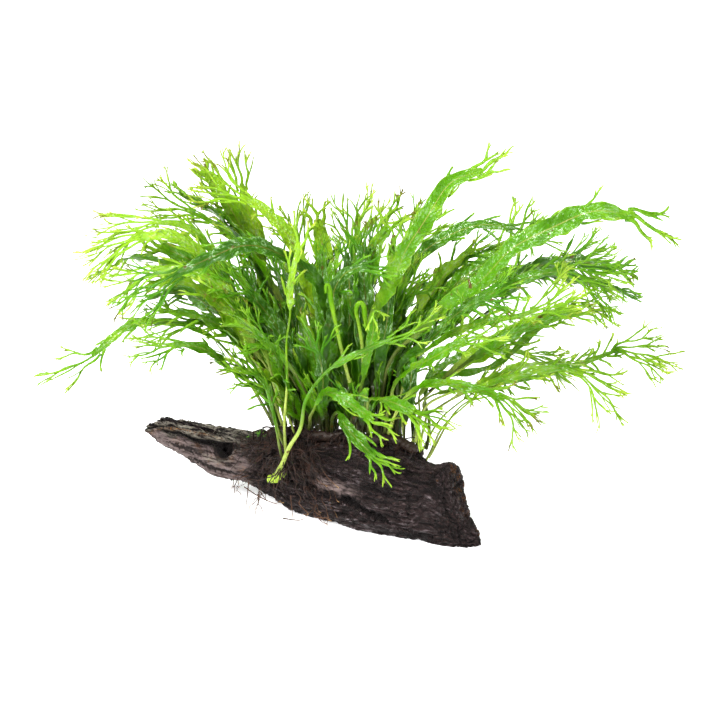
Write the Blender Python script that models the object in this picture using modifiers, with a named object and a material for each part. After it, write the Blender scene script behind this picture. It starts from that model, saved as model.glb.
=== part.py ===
"""Laced java fern growing on a piece of dark driftwood.

Metres, +Z up, the wood's cut underside on Z = 0.  The front of the plant faces -Y.
The fern's places are laid out as the plant is seen from the front and a little above:
across the view, rise up the view, and depth away from the viewer.
"""

import math
from typing import NamedTuple

import bmesh
import bpy
from mathutils import Matrix, Vector
from mathutils.bvhtree import BVHTree

MM = 0.001

# The view that the plant is laid out in
VIEW_TILT = math.radians(17)
VIEW_FLOOR = 3.3
TOWARDS_VIEWER = Vector((0, -math.cos(VIEW_TILT), math.sin(VIEW_TILT)))

# Driftwood
WOOD_TURN = math.radians(-35)
WOOD_TIP = Vector((-96 * MM, 54 * MM, 0))
WOOD_RINGS = 40
WOOD_SIDES = 26
WOOD_END_CROWDING = 0.08
WOOD_SQUARENESS = 2.4
WOOD_LEAN = 2 * MM


class Station(NamedTuple):
    """One cross-section of the wood: millimetres."""

    along: float
    underside: float
    top: float
    half_width: float
    shift: float


WOOD_STATIONS = (
    Station(0, 21.5, 25.5, 2.2, -1),
    Station(6, 18.5, 28, 4.5, 0),
    Station(14, 16.5, 28.5, 7, 0),
    Station(30, 13, 27.5, 9.5, 0),
    Station(45, 10.5, 27.5, 11.5, 0),
    Station(62, 8.5, 28.5, 13, 0),
    Station(80, 3, 31, 15, 0),
    Station(100, -2.6, 34, 16.5, 0),
    Station(120, -3.5, 36, 17, 0),
    Station(138, -3.5, 37, 17, 0),
    Station(151, -3.5, 33, 15.5, -1),
    Station(160, -3.5, 33.5, 13.5, -1),
    Station(167.5, -3.5, 35, 11, -2),
    Station(171.5, -3.5, 22, 8, -3),
    Station(177.5, -3.5, 10, 5, -3),
    Station(183.5, -3, 3, 1.8, -2),
)


class Ridge(NamedTuple):
    """A raised strand of grain: angle round the wood in degrees, lengths in millimetres."""

    angle: float
    drift: float
    start: float
    end: float
    height: float
    width: float


WOOD_RIDGES = (
    Ridge(118, 10, 8, 115, 1.9, 12),
    Ridge(150, -6, 20, 176, 1.7, 12),
    Ridge(178, 12, 30, 160, -2.0, 11),
    Ridge(205, -10, 60, 178, 1.8, 13),
    Ridge(232, 8, 4, 95, 1.8, 12),
    Ridge(84, -8, 95, 174, -1.7, 12),
    Ridge(52, 10, 10, 145, 2.2, 13),
    Ridge(22, -8, 40, 176, -2.2, 12),
    Ridge(352, 8, 20, 125, 2.2, 13),
    Ridge(322, 0, 60, 174, 1.4, 12),
)


class Lump(NamedTuple):
    """A swelling or a pit: where, how wide and how high, in millimetres and degrees."""

    along: float
    angle: float
    reach: float
    spread: float
    height: float


WOOD_LUMPS = (
    Lump(51, 150, 4.5, 22, -4.5),
    Lump(42, 236, 6, 26, 2.2),
    Lump(99, 205, 9, 22, -1.8),
    Lump(139, 105, 9, 30, 1.6),
    Lump(170, 128, 5, 26, 2.0),
    Lump(118, 30, 12, 34, 3.0),
    Lump(74, 350, 9, 26, -3.0),
    Lump(152, 8, 8, 24, -2.6),
    Lump(60, 62, 5, 22, 2.4),
)

# Slow waves of the whole surface: height and pitch in millimetres, turns round the wood
WOOD_WAVES = ((0.5, 7, 2), (0.35, 3.1, -5))

# The split between the two prongs of the left end
SPLIT_START = -4 * MM
SPLIT_LENGTH = 46 * MM
SPLIT_MOUTH = 4 * MM
SPLIT_DEPTH = 24 * MM
SPLIT_TOP = 34 * MM
SPLIT_SIDE = 1.2 * MM
SPLIT_END = 0.2 * MM

# Creeping stem
STEM_RADIUS = 2.6 * MM
STEM_ROUNDING = 1
STEM_END = 0.55
STEM_TAPER = 1.5
STEM_SIDE = {"main": 0, "front": -0.8, "back": 0.5}
GAP = 0.35 * MM
CLEARANCES = range(2, 12)

STEM_NAMES = {"main": "rhizome", "front": "rhizome_front_branch", "back": "rhizome_back_branch"}
STEM_TOP = ((68, -3), (82, 2), (95, -2), (108, 3), (121, -1), (134, 2), (147, 0))
STEM_BRANCHES = {
    "front": ((90, 29), (89, 25), (86, 20), (79, 14.5)),
    "back": ((76, 25), (91, 27), (106, 28), (122, 30), (138, 29)),
}

# Fronds
LEAF_THICKNESS = 0.7 * MM
STALK_WIDTH = 1.5 * MM
LEAVE_BEND = 2.5 * MM
LEAVE_RISE = 0.4
COLUMN_RINGS = 8
COLUMN_CROWDING = 0.8
# How much of the blade's full width there is at a share of the way to the fork
BLADE_PROFILE = ((0, 0), (0.35, 0.06), (0.5, 0.3), (0.65, 0.72), (0.8, 1), (0.92, 0.95), (1, 0.78))
FINGER_RINGS = 2
FINGER_TIP = 0.9 * MM
FINGER_SHORTER = 0.28
FINGER_VARIES = 0.1
FINGER_EARLY_TURN = 0.55
FINGER_UNEVEN_CURL = 0.8


class Frond(NamedTuple):
    """One frond: its place on a stem, the points it passes and its blade, in millimetres and degrees."""

    stem: str
    place: float
    points: tuple
    width: float
    lace: float
    fingers: int
    spread: float
    facing: float
    curl: float


FRONDS = (
    # Low ones in front of the crown, and those of the front branch
    Frond("front", 0.60, ((-29, 35, -28), (-25, 51, -36), (-18, 62, -42), (-7, 71, -44), (36, 90, -42)),
          6, 22, 3, 34, 50, 0),
    Frond("front", 0.30, ((-37, 35, -18), (-39, 49, -18), (-44, 62, -20), (-61, 78, -26)),
          5, 20, 3, 34, 50, 0),
    Frond("front", 0.12, ((-38, 50, -12), (-47, 62, -22), (-60, 72, -28)), 5, 20, 3, 36, 50, -6),
    Frond("main", 0.42, ((-10, 47, -20), (-5, 41, -38), (4, 30, -44), (17, 17, -50)),
          8, 15, 4, 34, 55, -4),
    Frond("main", 0.30, ((-20, 49, -20), (-14, 57, -33), (-4, 52, -42), (7, 43, -46), (19, 37, -48)),
          9, 15, 3, 30, 62, -6),
    Frond("main", 0.70, ((5, 54, -24), (18, 51, -40), (40, 36, -50)), 7, 20, 4, 38, 50, -10),
    # The longest ones
    Frond("main", 0.16, ((-38, 80, 40), (-47, 127, 45), (-53, 147, 40), (-55, 170, 35)),
          9, 22, 3, 7, 75, 4),
    Frond("main", 0.30, ((-12, 78, 0), (-22, 109, -20), (-44, 121, -36), (-68, 116, -46),
                         (-112, 90, -50)), 11, 34, 4, 26, 62, -10),
    Frond("main", 0.60, ((3, 78, -8), (12, 103, -18), (24, 125, -25), (34, 142, -29), (42, 151, -30),
                         (52, 154, -30), (67, 165, -28)), 10, 16, 3, 24, 70, 4),
    Frond("main", 0.72, ((14, 71, -18), (36, 93, -38), (60, 113, -47), (75, 125, -51), (96, 135, -53),
                         (109, 137, -53), (121, 135, -50), (141, 123, -46)), 11, 24, 3, 20, 66, -4),
    Frond("main", 0.05, ((-54, 67, 20), (-76, 87, 25), (-104, 86, 20), (-120, 73, 15), (-144, 62, 10)),
          8, 26, 3, 26, 55, -10),
    Frond("main", 0.98, ((32, 55, 20), (72, 62, 15), (104, 71, 10), (124, 78, 5), (144, 73, 5)),
          8, 28, 4, 34, 50, -4),
    Frond("main", 0.80, ((22, 57, -35), (40, 60, -50), (61, 55, -58), (82, 39, -56)),
          8, 24, 4, 38, 45, -10),
    Frond("main", 0.22, ((-34, 89, 50), (-50, 121, 60), (-72, 136, 60), (-104, 147, 55)),
          7, 28, 4, 40, 50, 8),
    Frond("main", 0.28, ((-19, 85, 30), (-28, 118, 25), (-44, 139, 25), (-80, 157, 20)),
          9, 30, 4, 34, 60, 6),
    Frond("main", 0.10, ((-54, 89, 10), (-72, 118, 5), (-94, 127, 0), (-130, 111, 0)),
          8, 32, 4, 22, 50, -14),
    Frond("main", 0.66, ((11, 85, 15), (25, 115, 10), (43, 129, 5), (63, 131, 0), (90, 123, 0)),
          8, 22, 3, 30, 60, -6),
    Frond("main", 0.44, ((-14, 89, 30), (-17, 121, 30), (-22, 145, 20)), 11, 14, 3, 26, 85, 6),
    Frond("main", 0.50, ((-4, 85, 20), (4, 114, 25), (19, 147, 30)), 11, 18, 3, 30, 80, 0),
    # The others, from the left to the right
    Frond("main", 0.56, ((5, 78, -24), (6, 93, -34), (11, 85, -41)), 5, 10, 2, 24, 60, -10),
    Frond("front", 0.05, ((-44, 55, 0), (-65, 73, -20), (-83, 78, -34), (-108, 75, -42)),
          7, 26, 4, 38, 45, 6),
    Frond("back", 0.35, ((-22, 89, 60), (-27, 116, 72), (-32, 147, 80)), 6, 26, 4, 44, 55, 6),
    Frond("front", 0.20, ((-32, 80, -20), (-31, 103, -34), (-23, 141, -30)), 7, 18, 2, 20, 80, 4),
    Frond("main", 0.24, ((-34, 57, -20), (-44, 78, -42), (-61, 90, -54)), 7, 22, 3, 34, 50, -6),
    Frond("main", 0.12, ((-43, 75, -5), (-62, 103, -12), (-86, 112, -15), (-119, 98, -15)),
          8, 30, 4, 28, 50, -4),
    Frond("main", 0.14, ((-40, 85, 25), (-63, 116, 25), (-86, 132, 20), (-126, 125, 15)),
          8, 32, 4, 26, 50, -6),
    Frond("main", 0.08, ((-45, 67, 15), (-65, 87, 10), (-104, 85, 5)), 7, 26, 4, 36, 50, -6),
    Frond("main", 0.20, ((-32, 71, 5), (-47, 98, -5), (-72, 118, -10)), 8, 26, 4, 36, 60, 0),
    Frond("back", 0.50, ((-4, 85, 55), (-3, 121, 66), (-7, 149, 72)), 6, 26, 4, 44, 55, 0),
    Frond("back", 0.62, ((-4, 89, 76), (-2, 125, 90), (11, 150, 98)), 6, 26, 4, 44, 50, 0),
    Frond("main", 0.36, ((-14, 85, -10), (-10, 105, -25), (1, 113, -30), (17, 111, -30)),
          7, 14, 3, 30, 55, -8),
    Frond("main", 0.42, ((-16, 53, -25), (-19, 85, -42)), 6, 18, 3, 34, 70, -4),
    Frond("back", 0.75, ((11, 89, 60), (22, 121, 70), (31, 147, 78)), 7, 26, 4, 42, 55, 0),
    Frond("main", 0.64, ((11, 80, 0), (20, 100, -5), (34, 117, -5)), 8, 22, 4, 36, 65, 0),
    Frond("main", 0.76, ((18, 75, 30), (45, 107, 35), (70, 125, 35), (83, 142, 35)),
          8, 24, 4, 40, 60, 6),
    Frond("main", 0.82, ((22, 71, 10), (54, 98, 5), (90, 111, 0), (126, 103, 0)), 9, 34, 4, 38, 50, -6),
    Frond("back", 0.86, ((20, 75, 50), (54, 105, 60), (86, 114, 60), (122, 117, 60)),
          8, 30, 4, 40, 50, 4),
    Frond("main", 0.88, ((20, 67, -12), (45, 85, -28), (72, 91, -40), (104, 105, -44)),
          8, 28, 4, 40, 50, 6),
    Frond("main", 0.92, ((29, 60, 30), (60, 69, 30), (75, 80, 30), (87, 91, 28), (101, 97, 25),
                         (120, 96, 20)), 10, 24, 4, 36, 50, 4),
    Frond("main", 0.95, ((32, 53, -10), (68, 63, -20), (94, 67, -24), (124, 48, -24)),
          8, 30, 4, 36, 45, -10),
    Frond("main", 0.78, ((16, 60, -30), (36, 75, -50), (70, 87, -56)), 7, 24, 4, 38, 50, -4),
    Frond("main", 0.74, ((18, 80, 25), (36, 105, 25), (50, 118, 20), (72, 123, 20)),
          7, 24, 4, 36, 55, -4),
    Frond("main", 0.84, ((18, 67, -25), (38, 87, -46), (54, 98, -58), (76, 103, -62)),
          7, 24, 4, 36, 55, -4),
    Frond("back", 0.10, ((-36, 92, 48), (-58, 118, 70), (-88, 118, 86)), 7, 28, 4, 38, 30, 0),
    Frond("back", 0.24, ((-24, 92, 52), (-42, 120, 80), (-62, 122, 98)), 7, 28, 4, 38, 10, -6),
    Frond("back", 0.45, ((-8, 88, 50), (-10, 112, 82), (-16, 108, 106)), 7, 26, 4, 38, 0, -10),
    Frond("back", 0.68, ((12, 84, 48), (26, 106, 78), (40, 104, 100)), 7, 26, 4, 38, 5, -8),
    Frond("back", 0.90, ((28, 78, 44), (56, 98, 64), (90, 98, 80)), 7, 28, 4, 38, 20, -6),
    Frond("back", 0.98, ((30, 66, 34), (62, 80, 46), (100, 72, 54)), 7, 26, 4, 38, 30, -8),
)

# Ways to move a frond clear of the others: a slide along the stem, a swing round the upright and a lift
SLIDES = (0, 0.02, -0.02, 0.04, -0.04, 0.07, -0.07, 0.1, -0.1)
SWINGS = (0, 2.5, -2.5, 5, -5, 8, -8, 12, -12)
LIFTS = (0, 2.5, -2.5, 5, -5, 8)
MOVE_COSTS = (100, 1, 1.5)

ROOT_TAPER = 0.5


class Root(NamedTuple):
    """A bundle of roots: where it clings to the wood and hangs, and how thick it is, in millimetres."""

    clings: tuple
    hangs: tuple
    thickness: float


ROOTS = (
    Root(((75, 25), (68, 19), (60, 12.5)), ((-55, 1, 8), (-56, -4, 5)), 1.5),
    Root(((81, 25), (74, 17), (71, 8)), ((-46, -5, 4.5), (-48, -10, 2.5)), 1.5),
    Root(((95, 29), (98, 21), (100, 12)), ((-22, -22, 8), (-19, -27, 5.5), (-14, -29, 3.5)), 1.5),
    Root(((99, 31), (106, 24), (112, 15), (116, 7)), (), 1.6),
    Root(((77, 28), (70, 24), (64, 18)), (), 1.4),
)


def material(name, colour, roughness):
    """Make a plain surface of one colour."""
    surface = bpy.data.materials.new(name)
    surface.use_nodes = True
    shader = surface.node_tree.nodes["Principled BSDF"]
    shader.inputs["Base Color"].default_value = (*colour, 1)
    shader.inputs["Roughness"].default_value = roughness
    shader.inputs["Metallic"].default_value = 0
    return surface


def seen(across, rise, depth):
    """Turn a place laid out in the view, in millimetres, into a point in metres."""
    height = (rise - VIEW_FLOOR - depth * math.sin(VIEW_TILT)) / math.cos(VIEW_TILT)
    return Vector((across, depth, height)) * MM


def along_wood(along, sideways, height):
    """Turn a place along, across and above the wood, in metres, into a point."""
    axis = Vector((math.cos(WOOD_TURN), math.sin(WOOD_TURN), 0))
    across = Vector((-axis.y, axis.x, 0))
    return WOOD_TIP + along * axis + sideways * across + Vector((0, 0, height))


def smooth(points, steps=12):
    """Return points of a smooth curve through the given ones."""
    ends = [2 * points[0] - points[1], *points, 2 * points[-1] - points[-2]]
    curve = []
    for before, start, end, after in zip(ends, ends[1:], ends[2:], ends[3:]):
        for step in range(steps):
            t = step / steps
            curve.append(0.5 * (2 * start + (end - before) * t
                                + (2 * before - 5 * start + 4 * end - after) * t ** 2
                                + (3 * start - before - 3 * end + after) * t ** 3))
    curve.append(points[-1].copy())
    return curve


def spaced(curve, fractions):
    """Return points and directions at fractions of a curve's length."""
    lengths = [0]
    for a, b in zip(curve, curve[1:]):
        lengths.append(lengths[-1] + (b - a).length)
    places = []
    for fraction in fractions:
        target = fraction * lengths[-1]
        leg = max(i for i in range(len(curve) - 1) if lengths[i] <= target or i == 0)
        share = (target - lengths[leg]) / max(lengths[leg + 1] - lengths[leg], 1e-9)
        direction = (curve[leg + 1] - curve[leg]).normalized()
        places.append((curve[leg].lerp(curve[leg + 1], min(share, 1)), direction))
    return places


def between(stations, along):
    """Return the cross-section at a place along the wood, in millimetres, from the stations round it."""
    last = len(stations) - 1
    leg = max(i for i in range(last) if stations[i].along <= along or i == 0)
    points = [Vector(stations[min(max(leg + i, 0), last)]) for i in (-1, 0, 1, 2)]
    before, start, end, after = points
    t = (along - start[0]) / (end[0] - start[0])
    slope_in = (end - before) * 0.5 if leg else end - start
    slope_out = (after - start) * 0.5 if leg < last - 1 else end - start
    values = ((2 * t ** 3 - 3 * t ** 2 + 1) * start + (t ** 3 - 2 * t ** 2 + t) * slope_in
              + (3 * t ** 2 - 2 * t ** 3) * end + (t ** 3 - t ** 2) * slope_out)
    return Station(along, *values[1:])


def turn_between(a, b):
    """Return how far apart two angles in degrees are."""
    return (a - b + 180) % 360 - 180


def wood_relief(along, angle):
    """Return how far the wood stands out at a place, in millimetres."""
    relief = 0
    for height, pitch, twist in WOOD_WAVES:
        relief += height * math.sin(along / pitch + math.radians(twist * angle))
    for ridge in WOOD_RIDGES:
        share = (along - ridge.start) / (ridge.end - ridge.start)
        if 0 < share < 1:
            away = turn_between(angle, ridge.angle + ridge.drift * share) / ridge.width
            relief += ridge.height * math.exp(-away ** 2) * math.sin(math.pi * share) ** 0.5
    for lump in WOOD_LUMPS:
        off = (along - lump.along) / lump.reach
        away = turn_between(angle, lump.angle) / lump.spread
        relief += lump.height * math.exp(-off ** 2 - away ** 2)
    return relief


def wood_ring(along):
    """Return the points round one cross-section of the wood."""
    station = between(WOOD_STATIONS, along)
    middle = (station.top + station.underside) / 2
    half_height = (station.top - station.underside) / 2
    points = []
    for side in range(WOOD_SIDES):
        angle = 2 * math.pi * side / WOOD_SIDES
        c, s = math.cos(angle), math.sin(angle)
        x = math.copysign(abs(c) ** (2 / WOOD_SQUARENESS), c)
        z = math.copysign(abs(s) ** (2 / WOOD_SQUARENESS), s)
        size = min(station.half_width, half_height)
        grow = 1 + wood_relief(along, math.degrees(angle)) / max(size + 4, 8)
        sideways = (station.shift + station.half_width * x * grow) * MM + WOOD_LEAN * z
        height = (middle + half_height * z * grow) * MM
        points.append(along_wood(along * MM, sideways, height))
    return points


def loft(mesh, rings):
    """Join closed rings of points into one closed skin with a point at each end."""
    skins = [[mesh.verts.new(point) for point in ring] for ring in rings]
    count = len(rings[0])
    for a, b in zip(skins, skins[1:]):
        for i in range(count):
            j = (i + 1) % count
            mesh.faces.new((a[i], a[j], b[j], b[i]))
    for ring, order in ((skins[0], 1), (skins[-1], -1)):
        tip = mesh.verts.new(sum((v.co for v in ring), Vector()) / count)
        for i in range(count):
            corners = (ring[i], tip, ring[(i + 1) % count])
            mesh.faces.new(corners[::order])


def make_driftwood(parts, cutters):
    """Make the wood: a loft with grain ridges and a knot hole, split at one end and cut flat underneath."""
    mesh = bmesh.new()
    length = WOOD_STATIONS[-1].along
    # rings stand closer together towards both ends
    shares = [i / (WOOD_RINGS - 1) for i in range(WOOD_RINGS)]
    turns = [WOOD_END_CROWDING + (1 - 2 * WOOD_END_CROWDING) * share for share in shares]
    places = [-math.cos(math.pi * turn) for turn in turns]
    rings = [wood_ring((place / places[-1] + 1) / 2 * length) for place in places]
    loft(mesh, rings)
    geometry = mesh.verts[:] + mesh.edges[:] + mesh.faces[:]
    ground = {"plane_co": (0, 0, 0), "plane_no": (0, 0, -1)}
    bmesh.ops.bisect_plane(mesh, geom=geometry, dist=1e-6, clear_outer=True, **ground)
    rim = [edge for edge in mesh.edges if edge.is_boundary]
    bmesh.ops.contextual_create(mesh, geom=rim)
    bmesh.ops.recalc_face_normals(mesh, faces=mesh.faces[:])
    wood = add_mesh("driftwood", mesh, parts)

    mesh = bmesh.new()
    corners = []
    for along, mouth in ((SPLIT_START, SPLIT_MOUTH), (SPLIT_LENGTH, SPLIT_END)):
        for side in (SPLIT_SIDE - mouth / 2, SPLIT_SIDE + mouth / 2):
            for height in (SPLIT_TOP, SPLIT_TOP - SPLIT_DEPTH):
                corners.append(mesh.verts.new(along_wood(along, side, height)))
    bmesh.ops.convex_hull(mesh, input=corners)
    split = add_mesh("end_split", mesh, cutters)
    split.hide_render = True
    split.display_type = "WIRE"
    cut = wood.modifiers.new("end_split", "BOOLEAN")
    cut.operation = "DIFFERENCE"
    cut.solver = "EXACT"
    cut.object = split
    return wood


def add_mesh(name, mesh, collection):
    """Turn a bmesh into a named object."""
    data = bpy.data.meshes.new(name)
    mesh.to_mesh(data)
    mesh.free()
    thing = bpy.data.objects.new(name, data)
    collection.objects.link(thing)
    return thing


def add_tube(name, points, radii, resolution, collection):
    """Make a round bar along points, with a radius at each."""
    data = bpy.data.curves.new(name, "CURVE")
    data.dimensions = "3D"
    data.bevel_depth = 1
    data.bevel_resolution = resolution
    data.use_fill_caps = True
    line = data.splines.new("POLY")
    line.points.add(len(points) - 1)
    for knot, point, radius in zip(line.points, points, radii):
        knot.co = (*point, 1)
        knot.radius = radius
    thing = bpy.data.objects.new(name, data)
    collection.objects.link(thing)
    return thing


def skin_of(thing):
    """Return the search tree of an object's finished skin."""
    return BVHTree.FromObject(thing, bpy.context.evaluated_depsgraph_get())


def on_top(wood, along, sideways, clear):
    """Return a point above the wood, in millimetres along and across it, at a clear height in metres."""
    start = along_wood(along * MM, sideways * MM, 1)
    hit, normal, _, _ = wood.ray_cast(start, Vector((0, 0, -1)))
    return hit + clear * normal


def on_face(wood, along, height, side, clear):
    """Return a point on the front (-1) or back (1) of the wood, at a clear distance in metres."""
    start = along_wood(along * MM, side, height * MM)
    hit, normal, _, _ = wood.ray_cast(start, along_wood(0, -side, 0) - along_wood(0, 0, 0))
    return hit + clear * normal


def lay_tube(name, route, radius_at, resolution, others, parts):
    """Lay a tube on a route that takes a clear distance, as close to the wood as the others let it."""
    for step in CLEARANCES:
        line = route(step * GAP)
        count = len(line) - 1
        radii = [radius_at(i / count) for i in range(count + 1)]
        thick = add_tube(name, line, [radius + GAP for radius in radii], resolution, parts)
        bpy.context.view_layer.update()
        clear = clear_of(skin_of(thick), others)
        bpy.data.objects.remove(thick)
        if clear:
            add_tube(name, line, radii, resolution, parts)
            return line
    raise RuntimeError(f"{name} finds no clear place")


def make_stems(wood, parts):
    """Make the creeping stem and its two branches, and return the line of each."""
    def blunt(share):
        return STEM_RADIUS * min(1, STEM_END + STEM_TAPER * min(share, 1 - share))

    def routes(key):
        def route(clear):
            away = STEM_RADIUS + clear
            if key == "main":
                return smooth([on_top(wood, along, side, away) for along, side in STEM_TOP], 3)
            side = math.copysign(1, STEM_SIDE[key])
            places = STEM_BRANCHES[key]
            return smooth([on_face(wood, along, height, side, away) for along, height in places], 3)
        return route

    lines = {}
    for key, name in STEM_NAMES.items():
        lines[key] = lay_tube(name, routes(key), blunt, STEM_ROUNDING, [wood], parts)
    return lines


def make_roots(wood, others, parts):
    """Make the bundles of roots that grip the front of the wood."""
    for number, root in enumerate(ROOTS, 1):
        radius = root.thickness * MM / 2

        def route(clear):
            away = radius + clear
            points = [on_face(wood, along, height, -1, away) for along, height in root.clings]
            return smooth(points + [Vector(place) * MM for place in root.hangs], 2)

        def thinning(share):
            return radius * (1 - ROOT_TAPER * share)

        lay_tube(f"roots_{number}", route, thinning, 0, others, parts)


def blade_width(frond, share):
    """Return the width of stalk and blade at a share of the way from the stem to the fork."""
    for (start, low), (end, high) in zip(BLADE_PROFILE, BLADE_PROFILE[1:]):
        if share <= end:
            swell = low + (high - low) * (share - start) / (end - start)
            break
    return STALK_WIDTH + (frond.width * MM - STALK_WIDTH) * swell


def frond_sheet(frond, line):
    """Lay a frond's blade and fingers out as one open sheet that starts at a place on a stem."""
    (root, run), = spaced(line, (frond.place,))
    points = [seen(*point) for point in frond.points]
    outward = along_wood(0, STEM_SIDE[frond.stem], 0) - along_wood(0, 0, 0)
    leave = (points[0] - root).normalized() + Vector((0, 0, LEAVE_RISE)) + outward
    leave = (leave - run * leave.dot(run)).normalized()
    base = root + leave * (STEM_RADIUS + 1.5 * GAP)
    curve = smooth([base, base.lerp(points[0], 0.25) + leave * LEAVE_BEND, *points])
    length = sum((b - a).length for a, b in zip(curve, curve[1:]))
    fork = 1 - frond.lace * MM / length
    facing = math.radians(frond.facing)
    up = Vector((0, 0, math.cos(facing))) + TOWARDS_VIEWER * math.sin(facing)
    mesh = bmesh.new()
    rows = []
    places = [fork * (ring / COLUMN_RINGS) ** COLUMN_CROWDING for ring in range(COLUMN_RINGS + 1)]
    for place, (centre, direction) in zip(places, spaced(curve, places)):
        side = direction.cross(up).normalized()
        half = side * blade_width(frond, place / fork) / 2
        rows.append((centre - half, centre + half))
    left, right = rows[-1]
    ends = [left.lerp(right, i / frond.fingers) for i in range(frond.fingers + 1)]
    skins = [[mesh.verts.new(point) for point in row] for row in rows[:-1]]
    rim = [mesh.verts.new(point) for point in ends]
    for (a, b), (c, d) in zip(skins, skins[1:]):
        mesh.faces.new((a, b, d, c))
    mesh.faces.new((*skins[-1], *reversed(rim)))

    # fingers of the laced tip fan out of the fork's edge
    normal = side.cross(direction).normalized()
    reach = (1 - fork) * length
    middle = (frond.fingers - 1) / 2
    tip = curve[-1] - (left + right) / 2
    heading = tip.normalized()
    for finger in range(frond.fingers):
        off = (finger - middle) / max(middle, 0.5)
        angle = math.radians(frond.spread) * off
        vary = FINGER_VARIES * math.sin(2.3 * finger + 9 * frond.place)
        size = reach * (1 - FINGER_SHORTER * abs(off) + vary)
        a, b = rim[finger], rim[finger + 1]
        start = (a.co + b.co) / 2
        base_width = (b.co - a.co).length
        for ring in range(1, FINGER_RINGS + 1):
            t = ring / FINGER_RINGS
            swing = angle * (FINGER_EARLY_TURN + (1 - FINGER_EARLY_TURN) * t)
            sweep = heading * math.cos(swing) + side * math.sin(swing)
            curl = math.radians(frond.curl) * t * (1 + FINGER_UNEVEN_CURL * off)
            bend = normal * math.sin(curl) * t
            centre = start + size * t * (sweep + bend)
            width = max(base_width + (FINGER_TIP - base_width) * t, FINGER_TIP)
            across = (side * math.cos(swing) - heading * math.sin(swing)) * width / 2
            c, d = mesh.verts.new(centre - across), mesh.verts.new(centre + across)
            mesh.faces.new((a, b, d, c))
            a, b = c, d
    return mesh, base


def clear_of(skin, others):
    """Return whether a skin touches none of the others."""
    return not any(skin.overlap(other) for other in others)


def moves():
    """Return every slide, swing and lift, the smallest first."""
    choices = [(slide, swing, lift) for slide in SLIDES for swing in SWINGS for lift in LIFTS]
    return sorted(choices, key=lambda move: sum(abs(part) * cost for part, cost in zip(move, MOVE_COSTS)))


def place_frond(name, frond, lines, others, parts):
    """Make one frond, moved as little as needed to stand clear of what is there."""
    for slide, swing, lift in moves():
        place = min(max(frond.place + slide, 0.02), 0.98)
        mesh, base = frond_sheet(frond._replace(place=place), lines[frond.stem])
        reach = mesh.verts[:][-1].co - base
        tilt_axis = reach.cross(Vector((0, 0, 1))).normalized()
        raised = Matrix.Rotation(math.radians(lift), 4, tilt_axis)
        turned = Matrix.Rotation(math.radians(swing), 4, "Z") @ raised
        mesh.transform(Matrix.Translation(base) @ turned @ Matrix.Translation(-base))
        sheet = add_mesh(name, mesh, parts)
        shell = sheet.modifiers.new("thickness", "SOLIDIFY")
        shell.thickness = LEAF_THICKNESS + 2 * GAP
        shell.offset = 0
        bpy.context.view_layer.update()
        if clear_of(skin_of(sheet), others):
            shell.thickness = LEAF_THICKNESS
            return sheet
        bpy.data.objects.remove(sheet)
    raise RuntimeError(f"{name} finds no clear place")


def centre_under(parts, anchor):
    """Move everything so that the origin is under the middle of the whole, on the underside."""
    graph = bpy.context.evaluated_depsgraph_get()
    lows, highs = Vector((1, 1, 1)), Vector((-1, -1, -1))
    for thing in parts.objects:
        for corner in thing.evaluated_get(graph).bound_box:
            lows = Vector(map(min, lows, corner))
            highs = Vector(map(max, highs, corner))
    middle = (lows + highs) / 2
    anchor.location = (-middle.x, -middle.y, 0)


def main():
    for thing in list(bpy.data.objects):
        bpy.data.objects.remove(thing)
    parts = bpy.data.collections.new("java_fern_on_driftwood")
    cutters = bpy.data.collections.new("cutters")
    for collection in (parts, cutters):
        bpy.context.scene.collection.children.link(collection)
    finishes = {
        "driftwood": ((0.030, 0.022, 0.020), 0.45),
        "rhizome": ((0.12, 0.16, 0.03), 0.5),
        "roots": ((0.09, 0.045, 0.02), 0.7),
        "frond": ((0.10, 0.36, 0.03), 0.35),
    }
    wood = make_driftwood(parts, cutters)
    bpy.context.view_layer.update()
    wood_skin = skin_of(wood)
    lines = make_stems(wood_skin, parts)
    bpy.context.view_layer.update()
    make_roots(wood_skin, [skin_of(thing) for thing in parts.objects], parts)
    bpy.context.view_layer.update()
    others = [skin_of(thing) for thing in parts.objects]
    for number, frond in enumerate(FRONDS, 1):
        sheet = place_frond(f"frond_{number:02d}", frond, lines, others, parts)
        bpy.context.view_layer.update()
        others.append(skin_of(sheet))
    anchor = bpy.data.objects.new("base", None)
    bpy.context.scene.collection.objects.link(anchor)
    centre_under(parts, anchor)
    for thing in (*parts.objects, *cutters.objects):
        thing.parent = anchor
    for thing in parts.objects:
        kind = next(kind for kind in finishes if thing.name.startswith(kind))
        thing.data.materials.append(material(thing.name, *finishes[kind]))


main()
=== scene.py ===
"""Laced java fern on a piece of driftwood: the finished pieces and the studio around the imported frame."""

from __future__ import annotations

import logging
from dataclasses import dataclass, field
from enum import Enum
from functools import partial
from math import ceil, cos, exp, hypot, pi, radians, sin, sqrt
from random import Random
from typing import Callable, Optional, Union

import bmesh
import bpy
import numpy as np
from mathutils import Matrix, Vector, noise
from mathutils.bvhtree import BVHTree


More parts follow.
